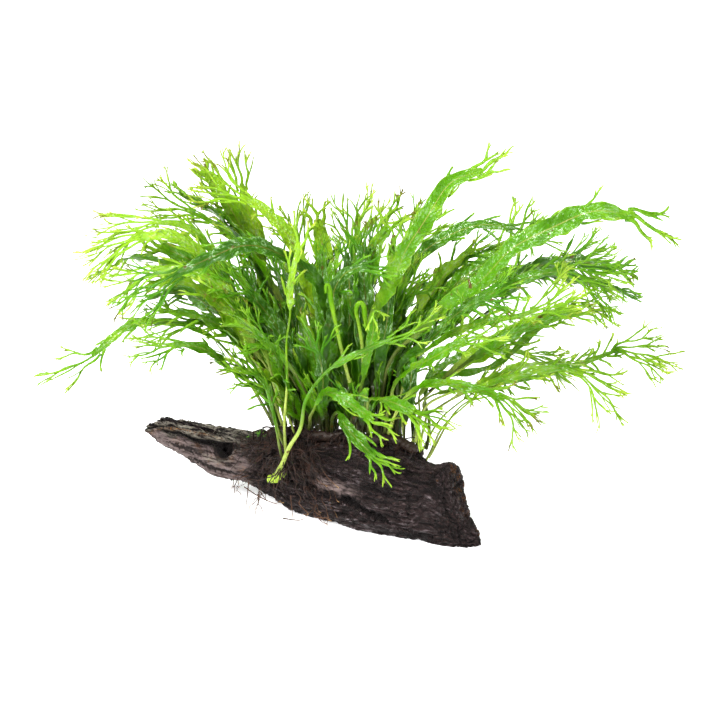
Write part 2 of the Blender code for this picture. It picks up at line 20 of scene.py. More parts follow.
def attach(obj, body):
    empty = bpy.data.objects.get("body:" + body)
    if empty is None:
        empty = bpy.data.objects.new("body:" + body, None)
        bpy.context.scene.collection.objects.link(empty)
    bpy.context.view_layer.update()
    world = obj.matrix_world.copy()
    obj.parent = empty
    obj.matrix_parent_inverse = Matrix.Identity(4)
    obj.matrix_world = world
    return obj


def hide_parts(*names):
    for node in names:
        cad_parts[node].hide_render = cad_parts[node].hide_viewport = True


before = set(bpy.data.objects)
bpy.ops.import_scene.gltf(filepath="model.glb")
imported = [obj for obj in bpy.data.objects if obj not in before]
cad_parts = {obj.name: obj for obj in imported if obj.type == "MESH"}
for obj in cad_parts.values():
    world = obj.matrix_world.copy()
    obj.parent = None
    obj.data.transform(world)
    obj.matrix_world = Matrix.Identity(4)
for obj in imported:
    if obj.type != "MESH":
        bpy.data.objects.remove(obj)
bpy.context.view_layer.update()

LOG = logging.getLogger("java_fern")
MM = 0.001
BODY = "root"
UP = Vector((0, 0, 1))
FRONT = Vector((0, -1, 0))
VIEW_TILT = radians(17)
VIEW_LOW = 7.5  # how far the floor's front line lies below the picture's zero, in millimetres
PHASES = 6.28  # the range of a random phase, a full turn

Colour = tuple[float, float, float, float]
Course = tuple[tuple[float, float, float], ...]
Row = tuple[Vector, Vector, Vector, Vector, float]
Line = list[Vector]
Piece = bpy.types.Object
Key = Union[str, int]
Value = Union["Tap", float, int, bool, tuple]


def rgb(red: float, green: float, blue: float) -> Colour:
    """Return a colour with full alpha."""
    return (red, green, blue, 1.0)


# --- Node trees written as expressions


def operator(operation: str, swapped: bool = False) -> Callable[["Tap", Value], "Tap"]:
    """Return the method that stands behind a Python operator.

    Args:
        operation: The Math node's operation.
        swapped: Whether the other value comes first.

    Returns:
        The method.
    """
    def method(self: "Tap", other: Value) -> "Tap":
        """Return the node's result."""
        return self.maths(operation, other, self) if swapped else self.maths(operation, self, other)

    return method


class Tap:
    """One output of a node, on which maths is written as Python expressions."""

    def __init__(self, wiring: "Wiring", socket: Optional[bpy.types.NodeSocket]) -> None:
        """Keep the output, which a closing node doesn't have, and the tree it belongs to."""
        self.wiring = wiring
        self.socket = socket

    def maths(self, operation: str, *values: Value) -> "Tap":
        """Return the result of one Math node on the given values."""
        return self.wiring.node("ShaderNodeMath", {"operation": operation}, dict(enumerate(values)))

    __add__, __radd__ = operator("ADD"), operator("ADD", True)
    __sub__, __rsub__ = operator("SUBTRACT"), operator("SUBTRACT", True)
    __mul__, __rmul__ = operator("MULTIPLY"), operator("MULTIPLY", True)

    def size(self) -> "Tap":
        """Return this without its sign."""
        return self.maths("ABSOLUTE", self)

    def step(self, low: float, high: float) -> "Tap":
        """Return a smooth rise from 0 at low to 1 at high.

        Args:
            low: The value at and below which the result is 0.
            high: The value at and above which the result is 1.

        Returns:
            The rise, which falls instead where low is above high.
        """
        if low < high:
            ends = {"From Min": low, "From Max": high}
        else:
            ends = {"From Min": high, "From Max": low, "To Min": 1.0, "To Max": 0.0}
        return self.wiring.node("ShaderNodeMapRange", {"interpolation_type": "SMOOTHSTEP"},
                                {"Value": self, **ends})


class Wiring:
    """A node tree that is being wired, of a material or of Geometry Nodes."""

    def __init__(self, tree: bpy.types.NodeTree) -> None:
        """Keep the tree."""
        self.tree = tree

    @staticmethod
    def socket(sockets: bpy.types.bpy_prop_collection, key: Key) -> bpy.types.NodeSocket:
        """Return the socket with a place, an identifier or a name.

        Args:
            sockets: A node's inputs or outputs.
            key: The socket's place among them, its identifier or its name.

        Returns:
            The socket.
        """
        if isinstance(key, int):
            return sockets[key]
        for found in sockets:
            if found.identifier == key:
                return found
        return sockets[key]

    def node(self, kind: str, settings: Optional[dict] = None, values: Optional[dict] = None,
             out: Key = 0) -> Tap:
        """Add a node, set it up and feed its sockets.

        Args:
            kind: The node's type.
            settings: Its settings.
            values: What each socket gets, by place, identifier or name.
            out: The output to return.

        Returns:
            That output.
        """
        made = self.tree.nodes.new(kind)
        for key, setting in (settings or {}).items():
            setattr(made, key, setting)
        for key, value in (values or {}).items():
            self.feed(self.socket(made.inputs, key), value)
        return Tap(self, self.socket(made.outputs, out) if len(made.outputs) else None)

    def feed(self, socket: bpy.types.NodeSocket, value: Value) -> None:
        """Link a socket to an output, or to several in order, or set its own value.

        Args:
            socket: The input to feed.
            value: An output, a list of outputs or a constant.
        """
        for source in value if isinstance(value, list) else [value]:
            if isinstance(source, Tap):
                self.tree.links.new(source.socket, socket)
            else:
                socket.default_value = source

    def blend(self, factor: Value, first: Value, second: Value) -> Tap:
        """Return a mix of two colours."""
        return self.node("ShaderNodeMix", {"data_type": "RGBA"},
                         {"Factor_Float": factor, "A_Color": first, "B_Color": second}, "Result_Color")

    def layered(self, colour: Value, *layers: tuple[Value, Value]) -> Value:
        """Lay colours over a colour.

        Args:
            colour: The lowest colour.
            *layers: For each layer how much it covers, and its colour.

        Returns:
            The colour on top.
        """
        for factor, over in layers:
            colour = self.blend(factor, colour, over)
        return colour

    def noise(self, vector: Tap, scale: float, detail: float = 2.0, rough: float = 0.5) -> Tap:
        """Return the value of a noise texture."""
        return self.node("ShaderNodeTexNoise", None,
                         {"Vector": vector, "Scale": scale, "Detail": detail, "Roughness": rough}, "Fac")

    def surface(self, **values: Value) -> Tap:
        """Return a surface's shader, whose sockets are named by their words joined with underscores."""
        sockets = {key.replace("_", " "): value for key, value in values.items()}
        return self.node("ShaderNodeBsdfPrincipled", None, sockets)

    def bump(self, height: Tap, strength: float, distance: float) -> Tap:
        """Return the normal of a relief that stands up to a distance in metres."""
        return self.node("ShaderNodeBump", None,
                         {"Strength": strength, "Distance": distance, "Height": height})

    def attribute(self, name: str) -> Tap:
        """Return a number stored on the piece."""
        return self.node("ShaderNodeAttribute", {"attribute_name": name}, None, "Fac")

    def place(self, turn: float = 0.0, stretch: tuple = (1.0, 1.0, 1.0)) -> Tap:
        """Return the object's own coordinates, turned about the upright and stretched.

        Args:
            turn: The turn in radians.
            stretch: The factors along the three turned axes.

        Returns:
            The coordinates.
        """
        own = self.node("ShaderNodeTexCoord", None, None, "Object")
        turned = self.node("ShaderNodeMapping", None, {"Vector": own, "Rotation": (0.0, 0.0, turn)})
        return self.node("ShaderNodeMapping", None, {"Vector": turned, "Scale": stretch})


# --- Finishes


class Finish:
    """A surface that is made when it is first asked for."""

    name = "finish"

    def __init__(self) -> None:
        """Start with nothing made."""
        self.made: Optional[bpy.types.Material] = None

    @property
    def material(self) -> bpy.types.Material:
        """Wire the material on its first use.

        Returns:
            The material.
        """
        if self.made is None:
            self.made = bpy.data.materials.new(self.name)
            self.made.use_nodes = True
            self.made.node_tree.nodes.clear()
            wiring = Wiring(self.made.node_tree)
            surface = self.wire(wiring)
            wiring.node("ShaderNodeOutputMaterial", None, {"Surface": surface})
        return self.made

    def wire(self, wiring: Wiring) -> Tap:
        """Wire the surface and return its shader."""
        raise NotImplementedError


class LeafFinish(Finish):
    """Wet, quilted fern leaf: pale stalk, green blade with a midrib, veins and painted sheen, yellow-green
    lace, and a brown foot darkened with painted shade.
    """

    name = "fern_leaf"
    old_blade = rgb(0.017, 0.076, 0.001)
    blade = rgb(0.07, 0.23, 0.001)
    young_blade = rgb(0.255, 0.465, 0.01)
    old_lace = rgb(0.05, 0.19, 0.003)
    lace = rgb(0.22, 0.43, 0.016)
    old_tip = rgb(0.16, 0.38, 0.012)
    tip = rgb(0.445, 0.575, 0.055)
    # painted_sheen: pale whitish green, a painted highlight on the blade's panels
    painted_sheen = rgb(0.32, 0.56, 0.2)
    old_stalk = rgb(0.02, 0.034, 0.004)
    stalk = rgb(0.38, 0.47, 0.09)
    # foot: dark brown of old stalk bases, also laid on as painted shade where the stalks crowd
    foot = rgb(0.022, 0.016, 0.006)
    midrib = rgb(0.27, 0.25, 0.05)
    vein = rgb(0.2, 0.45, 0.03)
    scorch = rgb(0.09, 0.028, 0.008)
    glow = rgb(0.33, 0.54, 0.004)
    patch_scale = 95.0
    mottle_scale = 900.0
    crumple_scale = 420.0
    panel_scale = 1.5
    speck_scales = (260.0, 40.0)
    burn_scale = 120.0
    veins = 303.0
    vein_slant = 1.7
    translucence = 0.22

    def wire(self, wiring: Wiring) -> Tap:
        """Wire the leaf.

        Args:
            wiring: The material's tree.

        Returns:
            The leaf's shader.
        """
        names = ("growth", "across", "along", "tone", "fresh", "rust")
        growth, across, along, tone, fresh, rust = (wiring.attribute(name) for name in names)
        across = across.size()
        own = wiring.place()
        patches = wiring.noise(own, self.patch_scale, 3.0)
        mottle = wiring.noise(own, self.mottle_scale, 3.0, 0.6)

        shade = tone + 1.0 * patches - 0.5
        blade = wiring.layered(self.old_blade, (shade.step(0.05, 0.5), self.blade),
                               (shade.step(0.45, 1.0), self.young_blade))
        lace = wiring.blend(shade.step(0.05, 0.85), self.old_lace, self.lace)
        tip = wiring.blend(shade.step(0.12, 0.9), self.old_tip, self.tip)
        edge = growth + 0.16 * patches - 0.08
        green = wiring.layered(blade, (edge.step(0.52, 0.74), lace), (edge.step(0.8, 1.02), tip),
                               (across.step(0.8, 1.0) * 0.4, tip))

        slant = along * self.veins - across * self.vein_slant
        ribs = (slant.maths("FRACT", slant) - 0.5).size().step(0.42, 0.5)
        on_blade = growth.step(0.28, 0.4) * growth.step(0.64, 0.56)
        ribs = ribs * on_blade * across.step(0.06, 0.2)
        reach = across.step(0.06, 0.025) * on_blade
        stalk = wiring.blend((fresh + 0.3 * patches - 0.15).step(0.25, 0.8), self.old_stalk, self.stalk)
        grains, groups = (wiring.noise(own, scale, 1.0) for scale in self.speck_scales)
        specks = grains.step(0.7, 0.745) * groups.step(0.46, 0.6)
        burnt = (wiring.noise(own, self.burn_scale, 1.0) + 0.12 * rust).step(0.62, 0.7)
        burnt = burnt * growth.step(0.86, 0.99)
        # The stalks' feet go dark brown: partly their own colour, partly painted shade where the stalks crowd
        # at the crown's foot; fresh stalks get less of it.
        green = wiring.layered(
            green, (ribs * 0.3, self.vein), (reach * 0.85, wiring.blend(rust, self.midrib, self.scorch)),
            (growth.step(0.3, 0.14), stalk),
            ((growth + 0.12 * mottle + 0.24 * fresh).step(0.32, 0.13), self.foot),
            (mottle.step(0.45, 0.75) * 0.35, self.old_blade), (specks * 0.9, self.scorch),
            (burnt * 0.8, self.scorch))

        crumple = wiring.noise(own, self.crumple_scale, 2.0)
        fine = wiring.noise(own, self.mottle_scale, 2.0)
        # Painted sheen: panels between the side veins are lightened in the base colour as painted highlights,
        # more on dark leaves; the same panels also get a glossy coat.
        panel = wiring.node("ShaderNodeCombineXYZ", None, {"X": slant, "Y": across * 2.4, "Z": tone * 19.0})
        painted_sheen = wiring.noise(panel, self.panel_scale, 2.0, 0.6).step(0.51, 0.59)
        painted_sheen = painted_sheen * patches.step(0.36, 0.5) * on_blade
        green = wiring.blend(painted_sheen * fine.step(0.35, 0.55) * (0.55 - 0.35 * tone), green, self.painted_sheen)
        height = ribs * -0.25 + crumple * 0.9 + fine * 0.3
        normal = wiring.bump(height, 0.8, 0.0012)
        rough = 0.2 + 0.16 * mottle + 0.1 * patches
        wet = crumple.step(0.4, 0.62) * patches.step(0.4, 0.58) * 0.18
        flecks = fine.step(0.56, 0.61) * patches.step(0.42, 0.52) + painted_sheen
        skin = wiring.surface(Base_Color=green, Roughness=rough, Normal=normal, Specular_IOR_Level=0.13,
                              Coat_Weight=wet + flecks, Coat_Roughness=0.09, Coat_Normal=normal)
        light = wiring.node("ShaderNodeBsdfTranslucent", None, {"Color": self.glow})
        return wiring.node("ShaderNodeMixShader", None, {0: self.translucence, 1: skin, 2: light})


class WoodFinish(Finish):
    """Dark wet driftwood with open grain, painted highlights on its crests, painted shade in its valleys,
    cracks and pits, tan broken edges and a bloom on its upper end.
    """

    name = "wet_driftwood"
    turn = radians(35)
    strand_scale = 900.0
    wrinkle_scale = 820.0
    thread_scale = 2100.0
    broad_scale = 150.0
    crumb_scale = 1500.0
    block_scale = 560.0
    stir_scale = 500.0
    # pit: near black, painted shade in low recesses, cracks, grooves and the knot's pit
    pit = rgb(0.004, 0.0018, 0.0015)
    # dark_grain_and_valley_shade: partly the wood's dark grain, partly painted shade in the valleys between
    # raised strands
    dark_grain_and_valley_shade = rgb(0.0105, 0.0044, 0.0038)
    body = rgb(0.03, 0.0165, 0.016)
    # crest: pale grey, a painted highlight on raised ridges and glints
    crest = rgb(0.14, 0.108, 0.115)
    bark = rgb(0.044, 0.021, 0.017)
    plain = rgb(0.32, 0.24, 0.225)
    bloom = rgb(0.35, 0.315, 0.255)
    tan = rgb(0.38, 0.15, 0.03)

    def wire(self, wiring: Wiring) -> Tap:
        """Wire the wood.

        Args:
            wiring: The material's tree.

        Returns:
            The wood's shader.
        """
        grain_place, wrinkle_place, block_place, own = (
            wiring.place(self.turn, (along, 1.0, 1.0)) for along in (0.13, 0.3, 0.42, 1.0))
        planed, crest, pale, broken = (
            wiring.attribute(name) for name in ("planed", "crest", "bloom", "broken"))
        long_strands = wiring.noise(grain_place, self.strand_scale, 4.0, 0.62)
        wrinkles = wiring.noise(wrinkle_place, self.wrinkle_scale, 3.0, 0.6)
        strands = wrinkles + (long_strands - wrinkles) * (0.35 + 0.65 * planed)
        threads = wiring.noise(grain_place, self.thread_scale, 2.0, 0.5)
        broad = wiring.noise(grain_place, self.broad_scale, 3.0)
        crumbs = wiring.noise(own, self.crumb_scale, 4.0, 0.65)
        stir = wiring.node("ShaderNodeTexNoise", None,
                           {"Vector": own, "Scale": self.stir_scale, "Detail": 2.0}, "Color")
        wandered = wiring.node("ShaderNodeVectorMath", {"operation": "MULTIPLY_ADD"},
                               {0: stir, 1: (0.0022, 0.0022, 0.0022), 2: block_place})
        blocks = wiring.node("ShaderNodeTexVoronoi", {"feature": "DISTANCE_TO_EDGE"},
                             {"Vector": wandered, "Scale": self.block_scale}, "Distance")
        # The cracks are cut in the bump and painted near black in the colour below as painted shade.
        crumbly = broad.step(0.4, 0.58) * (1.0 - planed)
        cracks = blocks.step(0.16, 0.0) * crumbly

        # Painted glints: small pale flecks where strands, threads and crumbs all peak, laid into the base
        # colour in the crest colour as painted highlights; raised crests get the same painted highlight.
        painted_glints = strands.step(0.54, 0.62) * threads.step(0.46, 0.56) * crumbs.step(0.42, 0.52)
        # The valleys between raised strands take the darkest brown: partly grain colour, partly painted
        # shade.
        colour = wiring.layered(
            self.dark_grain_and_valley_shade, (strands.step(0.43, 0.55), self.body),
            (broad.step(0.5, 0.68) * strands.step(0.4, 0.55) * 0.7, self.bark),
            (planed * strands.step(0.36, 0.56) * 0.8, self.plain),
            (crest.step(0.4, 0.9) * strands.step(0.5, 0.62) * 0.8, self.crest),
            (painted_glints * 0.55, self.crest), (crest.step(0.45, 0.1) * 0.85, self.pit), (cracks * 0.85, self.pit),
            (pale * strands.step(0.42, 0.58) * 0.75, self.bloom),
            (broken * crumbs.step(0.46, 0.6), self.tan), (crest.step(-0.2, -1.0), self.pit))

        height = strands.step(0.36, 0.64) * 0.8 + threads * 0.35 + crumbs * 0.35 - cracks * 0.45
        normal = wiring.bump(height, 1.0, 0.002)
        rough = 0.5 - 0.15 * crest.step(0.2, 0.9) + 0.2 * crumbs - 0.12 * strands
        wet = crest.step(0.35, 0.85) * strands.step(0.42, 0.6) * crumbs.step(0.4, 0.55)
        return wiring.surface(Base_Color=colour, Roughness=rough, Normal=normal, Specular_IOR_Level=0.22,
                              Coat_Weight=wet, Coat_Roughness=0.14, Coat_Normal=normal)


class StemFinish(Finish):
    """Creeping stem: brown and scaly where it is old, yellow-green at its tip."""

    name = "creeping_stem"
    old = rgb(0.022, 0.012, 0.007)
    middle = rgb(0.11, 0.13, 0.03)
    young = rgb(0.33, 0.48, 0.035)
    mottle_scale = 700.0

    def wire(self, wiring: Wiring) -> Tap:
        """Wire the stem.

        Args:
            wiring: The material's tree.

        Returns:
            The stem's shader.
        """
        growth = wiring.attribute("growth")
        mottle = wiring.noise(wiring.place(), self.mottle_scale, 3.0, 0.6)
        colour = wiring.layered(self.old, ((growth + 0.3 * mottle - 0.15).step(0.35, 0.6), self.middle),
                                ((growth + 0.4 * mottle - 0.2).step(0.55, 0.85), self.young))
        return wiring.surface(Base_Color=colour, Roughness=0.35 + 0.3 * mottle,
                              Normal=wiring.bump(mottle, 0.7, 0.0005), Specular_IOR_Level=0.3)


class RootFinish(Finish):
    """Root fibre: dark brown where it clings, reddish along its length and straw pale at a free tip."""

    name = "root_fibre"
    dark = rgb(0.01, 0.0055, 0.004)
    red = rgb(0.034, 0.013, 0.007)
    russet = rgb(0.1, 0.043, 0.019)
    straw = rgb(0.46, 0.27, 0.12)
    mottle_scale = 350.0

    def wire(self, wiring: Wiring) -> Tap:
        """Wire the fibre.

        Args:
            wiring: The material's tree.

        Returns:
            The fibre's shader.
        """
        growth = wiring.attribute("growth")
        mottle = wiring.noise(wiring.place(), self.mottle_scale, 3.0, 0.6)
        colour = wiring.layered(self.dark, (mottle.step(0.4, 0.68), self.red),
                                (growth.step(0.35, 0.7), self.russet), (growth.step(0.76, 0.98), self.straw))
        return wiring.surface(Base_Color=colour, Roughness=0.45 + 0.25 * mottle,
                              Normal=wiring.bump(mottle, 0.4, 0.0003), Specular_IOR_Level=0.3)


class MossFinish(Finish):
    """A crumb of moss."""

    name = "moss"
    deep = rgb(0.035, 0.13, 0.012)
    bright = rgb(0.22, 0.56, 0.04)
    mottle_scale = 900.0

    def wire(self, wiring: Wiring) -> Tap:
        """Wire the moss.

        Args:
            wiring: The material's tree.

        Returns:
            The moss's shader.
        """
        mottle = wiring.noise(wiring.place(), self.mottle_scale, 3.0)
        colour = wiring.blend(mottle.step(0.35, 0.65), self.deep, self.bright)
        return wiring.surface(Base_Color=colour, Roughness=0.5 + 0.2 * mottle)


class FloorFinish(Finish):
    """The pale, even floor of the studio."""

    name = "pale_floor"
    white = rgb(0.88, 0.88, 0.88)

    def wire(self, wiring: Wiring) -> Tap:
        """Wire the floor.

        Args:
            wiring: The material's tree.

        Returns:
            The floor's shader.
        """
        speck = wiring.noise(wiring.place(), 40.0, 1.0)
        return wiring.surface(Base_Color=self.white, Roughness=0.8 + 0.1 * speck, Specular_IOR_Level=0.2,
                              Emission_Color=self.white, Emission_Strength=0.7)


class Slot(Enum):
    """The record's material slots."""

    WOOD = "wet_driftwood"
    STEM = "creeping_stem"
    ROOT = "root_fibre"
    LEAF = "fern_leaf"


# --- Lines and meshes


@dataclass
class Strand:
    """A thin part that follows a line: its points, the way it faces, its half widths and its growth."""

    points: Line
    facing: Line
    halves: list[float]
    growth: list[float]


@dataclass
class Cloth:
    """Mesh data being gathered: faces of a skin and the loose lines of strands."""

    numbers: tuple[str, ...] = ("growth", "across", "along", "tone", "fresh", "rust", "half", "lace")
    verts: Line = field(default_factory=list)
    edges: list[tuple[int, int]] = field(default_factory=list)
    faces: list[tuple[int, ...]] = field(default_factory=list)
    facing: Line = field(default_factory=list)
    stored: dict[str, list[float]] = field(default_factory=dict)

    def point(self, place: Vector, facing: Vector = UP, **numbers: float) -> int:
        """Add a point with its numbers.

        Args:
            place: Where it is.
            facing: The way the surface faces there.
            **numbers: Its stored numbers, 0 where one isn't given.

        Returns:
            Its index.
        """
        self.verts.append(place)
        self.facing.append(facing)
        for name in self.numbers:
            self.stored.setdefault(name, []).append(numbers.get(name, 0.0))
        return len(self.verts) - 1

    def add_strand(self, strand: Strand, **numbers: float) -> None:
        """Add a strand as a chain of edges.

        Args:
            strand: The strand.
            **numbers: Numbers that are the same all along it.
        """
        first = len(self.verts)
        for place, facing, half, growth in zip(strand.points, strand.facing, strand.halves, strand.growth):
            last = self.point(place, facing, half=half, growth=growth, lace=1.0, **numbers)
        self.edges.extend((index, index + 1) for index in range(first, last))

    def bridge(self, loops: list[list[int]]) -> None:
        """Join loops of points by a skin of faces, each with the next.

        Args:
            loops: The points' indices round each loop.
        """
        for one, other in zip(loops, loops[1:]):
            for i, j in zip(range(len(one)), [*range(1, len(one)), 0]):
                self.faces.append((one[i], one[j], other[j], other[i]))

    def to_object(self, name: str) -> Piece:
        """Return the gathered data as an object in the scene.

        Args:
            name: The object's name.

        Returns:
            The object, with every number as a point attribute.
        """
        mesh = bpy.data.meshes.new(name)
        mesh.from_pydata(self.verts, self.edges, self.faces)
        for key, values in self.stored.items():
            mesh.attributes.new(key, "FLOAT", "POINT").data.foreach_set("value", values)
        faces = mesh.attributes.new("facing", "FLOAT_VECTOR", "POINT")
        faces.data.foreach_set("vector", [number for facing in self.facing for number in facing])
        return placed(name, mesh)


def placed(name: str, data: bpy.types.ID) -> Piece:
    """Put some data in the scene.

    Args:
        name: The object's name.
        data: Its mesh, lamp or camera.

    Returns:
        The object.
    """
    made = bpy.data.objects.new(name, data)
    bpy.context.scene.collection.objects.link(made)
    return made


def scattered(draw: Random, spread: float) -> Vector:
    """Return a random vector with the same normal spread each way."""
    return Vector([draw.gauss(0, spread) for _ in range(3)])


def heading_at(points: Line, i: int) -> Vector:
    """Return the step from the point before one point of a line to the point after it."""
    return points[min(i + 1, len(points) - 1)] - points[max(i - 1, 0)]


def smooth_line(points: Line, spacing: float) -> Line:
    """Return evenly spaced points of the smooth curve through some points."""
    return [Vector(row) for row in smooth(np.array([tuple(point) for point in points]), spacing)]


def smooth(rows: np.ndarray, spacing: float) -> np.ndarray:
    """Lay a smooth curve through rows of numbers that start with a point.

    Args:
        rows: The rows; the first three numbers of each are a point.
        spacing: The wanted distance between the points of the result.

    Returns:
        Evenly spaced rows.
    """
    ends = np.vstack([2 * rows[0] - rows[1], rows, 2 * rows[-1] - rows[-2]])
    t = np.linspace(0, 1, 12, endpoint=False)[:, None]
    legs = []
    for before, start, end, after in zip(ends, ends[1:], ends[2:], ends[3:]):
        legs.append(0.5 * (2 * start + (end - before) * t
                           + (2 * before - 5 * start + 4 * end - after) * t ** 2
                           + (3 * start - before - 3 * end + after) * t ** 3))
    fine = np.vstack([*legs, rows[-1:]])
    lengths = np.concatenate([[0], np.cumsum(np.linalg.norm(np.diff(fine[:, :3], axis=0), axis=1))])
    count = max(4, round(lengths[-1] / spacing) + 1)
    places = np.linspace(0, lengths[-1], count)
    return np.column_stack([np.interp(places, lengths, column) for column in fine.T])


def seen(across: float, rise: float, depth: float) -> Vector:
    """Return the point that appears at a place from the front.

    Args:
        across: How far to the right of the middle it appears, in millimetres.
        rise: How far above the floor's front line it appears, in millimetres.
        depth: How far back it is, in millimetres.

    Returns:
        The point in metres.
    """
    height = (rise - VIEW_LOW - depth * sin(VIEW_TILT)) / cos(VIEW_TILT)
    return Vector((across, depth, height)) * MM


def rise(value: float, low: float, high: float) -> float:
    """Return a smooth rise from 0 at low to 1 at high."""
    share = min(max((value - low) / (high - low), 0.0), 1.0)
    return share * share * (3 - 2 * share)


def merged(node: Piece) -> bmesh.types.BMesh:
    """Copy a CAD node's loose triangles into one merged mesh.

    Args:
        node: The node, which stays as it is.

    Returns:
        The merged copy.
    """
    mesh = bmesh.new()
    mesh.from_mesh(node.data)
    bmesh.ops.remove_doubles(mesh, verts=mesh.verts, dist=0.002 * MM)
    mesh.verts.ensure_lookup_table()
    mesh.normal_update()
    return mesh


def hand_over(piece: Piece, slot: Slot, *nodes: str) -> None:
    """Let a finished piece ride on the body and hide the nodes that it stands for.

    Args:
        piece: The finished piece.
        slot: Not used.
        *nodes: The CAD nodes that it replaces.
    """
    if nodes:
        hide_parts(*nodes)
    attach(piece, BODY)
    LOG.info("%s: %d faces", piece.name, len(piece.data.polygons))


# --- Geometry Nodes


class Profile(Enum):
    """A strand's section: its corners, and its thickness as a share of its width."""

    LACE = (6, 0.3)
    SHOOT = (8, 0.8)
    ROOT = (5, 1.0)
    MOSS = (4, 1.0)


class Sweeper:
    """Geometry Nodes that turn the loose lines of a piece into flat or round strands."""

    def __init__(self) -> None:
        """Build the tree."""
        self.tree = bpy.data.node_groups.new("sweep_strands", "GeometryNodeTree")
        face = self.tree.interface
        face.new_socket("Geometry", in_out="INPUT", socket_type="NodeSocketGeometry")
        self.sides, self.flatness, self.finish = (
            face.new_socket(name, in_out="INPUT", socket_type=f"NodeSocket{kind}").identifier
            for name, kind in (("Sides", "Int"), ("Flatness", "Float"), ("Finish", "Material")))
        face.new_socket("Geometry", in_out="OUTPUT", socket_type="NodeSocketGeometry")
        wiring = Wiring(self.tree)
        given = wiring.node("NodeGroupInput", None, None, "Geometry")
        entry = given.socket.node.outputs
        sides, flatness, finish = (Tap(wiring, wiring.socket(entry, key))
                                   for key in (self.sides, self.flatness, self.finish))
        lace, half, facing = (
            wiring.node("GeometryNodeInputNamedAttribute", {"data_type": kind}, {"Name": name})
            for name, kind in (("lace", "FLOAT"), ("half", "FLOAT"), ("facing", "FLOAT_VECTOR")))
        parts = wiring.node("GeometryNodeSeparateGeometry", {"domain": "POINT"},
                            {"Geometry": given, "Selection": lace}, "Selection")
        skin = Tap(wiring, parts.socket.node.outputs["Inverted"])
        lines = wiring.node("GeometryNodeMeshToCurve", None, {"Mesh": parts})
        turned = wiring.node("GeometryNodeSetCurveNormal", {"mode": "FREE"},
                             {"Curve": lines, "Normal": facing})
        ring = wiring.node("GeometryNodeCurvePrimitiveCircle", None, {"Resolution": sides, "Radius": 1.0})
        stretch = wiring.node("ShaderNodeCombineXYZ", None, {"X": flatness, "Y": 1.0, "Z": 1.0})
        flat = wiring.node("GeometryNodeTransform", None, {"Geometry": ring, "Scale": stretch})
        swept = wiring.node("GeometryNodeCurveToMesh", None,
                            {"Curve": turned, "Profile Curve": flat, "Scale": half, "Fill Caps": True})
        joined = wiring.node("GeometryNodeJoinGeometry", None, {"Geometry": [skin, swept]})
        soft = wiring.node("GeometryNodeSetShadeSmooth", None, {"Geometry": joined, "Shade Smooth": True})
        real = wiring.node("GeometryNodeRealizeInstances", None, {"Geometry": soft})
        done = wiring.node("GeometryNodeSetMaterial", None, {"Geometry": real, "Material": finish})
        wiring.node("NodeGroupOutput", None, {"Geometry": done})

    def sweep(self, piece: Piece, finish: Finish, profile: Profile) -> None:
        """Turn a piece's lines into strands, as plain mesh.

        Args:
            piece: The piece, with loose lines and perhaps a skin.
            finish: What it is dressed in.
            profile: The section of its strands.
        """
        sweep = piece.modifiers.new("sweep_strands", "NODES")
        sweep.node_group = self.tree
        sweep[self.sides], sweep[self.flatness] = profile.value
        sweep[self.finish] = finish.material
        settle(piece)


def settle(piece: Piece) -> None:
    """Turn a piece's modifiers into plain mesh.

    Args:
        piece: The piece, whose modifiers are removed.
    """
    bpy.context.view_layer.update()
    graph = bpy.context.evaluated_depsgraph_get()
    done = bpy.data.meshes.new_from_object(piece.evaluated_get(graph), depsgraph=graph)
    piece.modifiers.clear()
    before, piece.data = piece.data, done
    done.name = piece.name
    bpy.data.meshes.remove(before)


# --- Fronds


class Habit(Enum):
    """How a frond carries its lace: where along it the sprigs start, and how far apart they are."""

    STRAP = (0.72, 16 * MM)
    LACED = (0.58, 7.5 * MM)
    FRINGED = (0.42, 5.5 * MM)


@dataclass(frozen=True)
class Character:
    """What sets one frond apart: its tone from old to young, habit, teeth, brown midrib, slimness and spray.

    A full frond is bladed almost from its foot. The spray is how far its forks open beside a usual frond's.
    The stalk has the blade's tone if none is given. Bare is the share of the frond that is only stalk.
    """

    tone: float
    habit: Habit
    teeth: float = 0.0
    rust: float = 0.0
    full: bool = False
    slim: float = 1.0
    spray: float = 1.0
    stalk: Optional[float] = None
    bare: float = 0.0

    def fresh(self) -> float:
        """Return the stalk's tone."""
        return self.tone if self.stalk is None else self.stalk


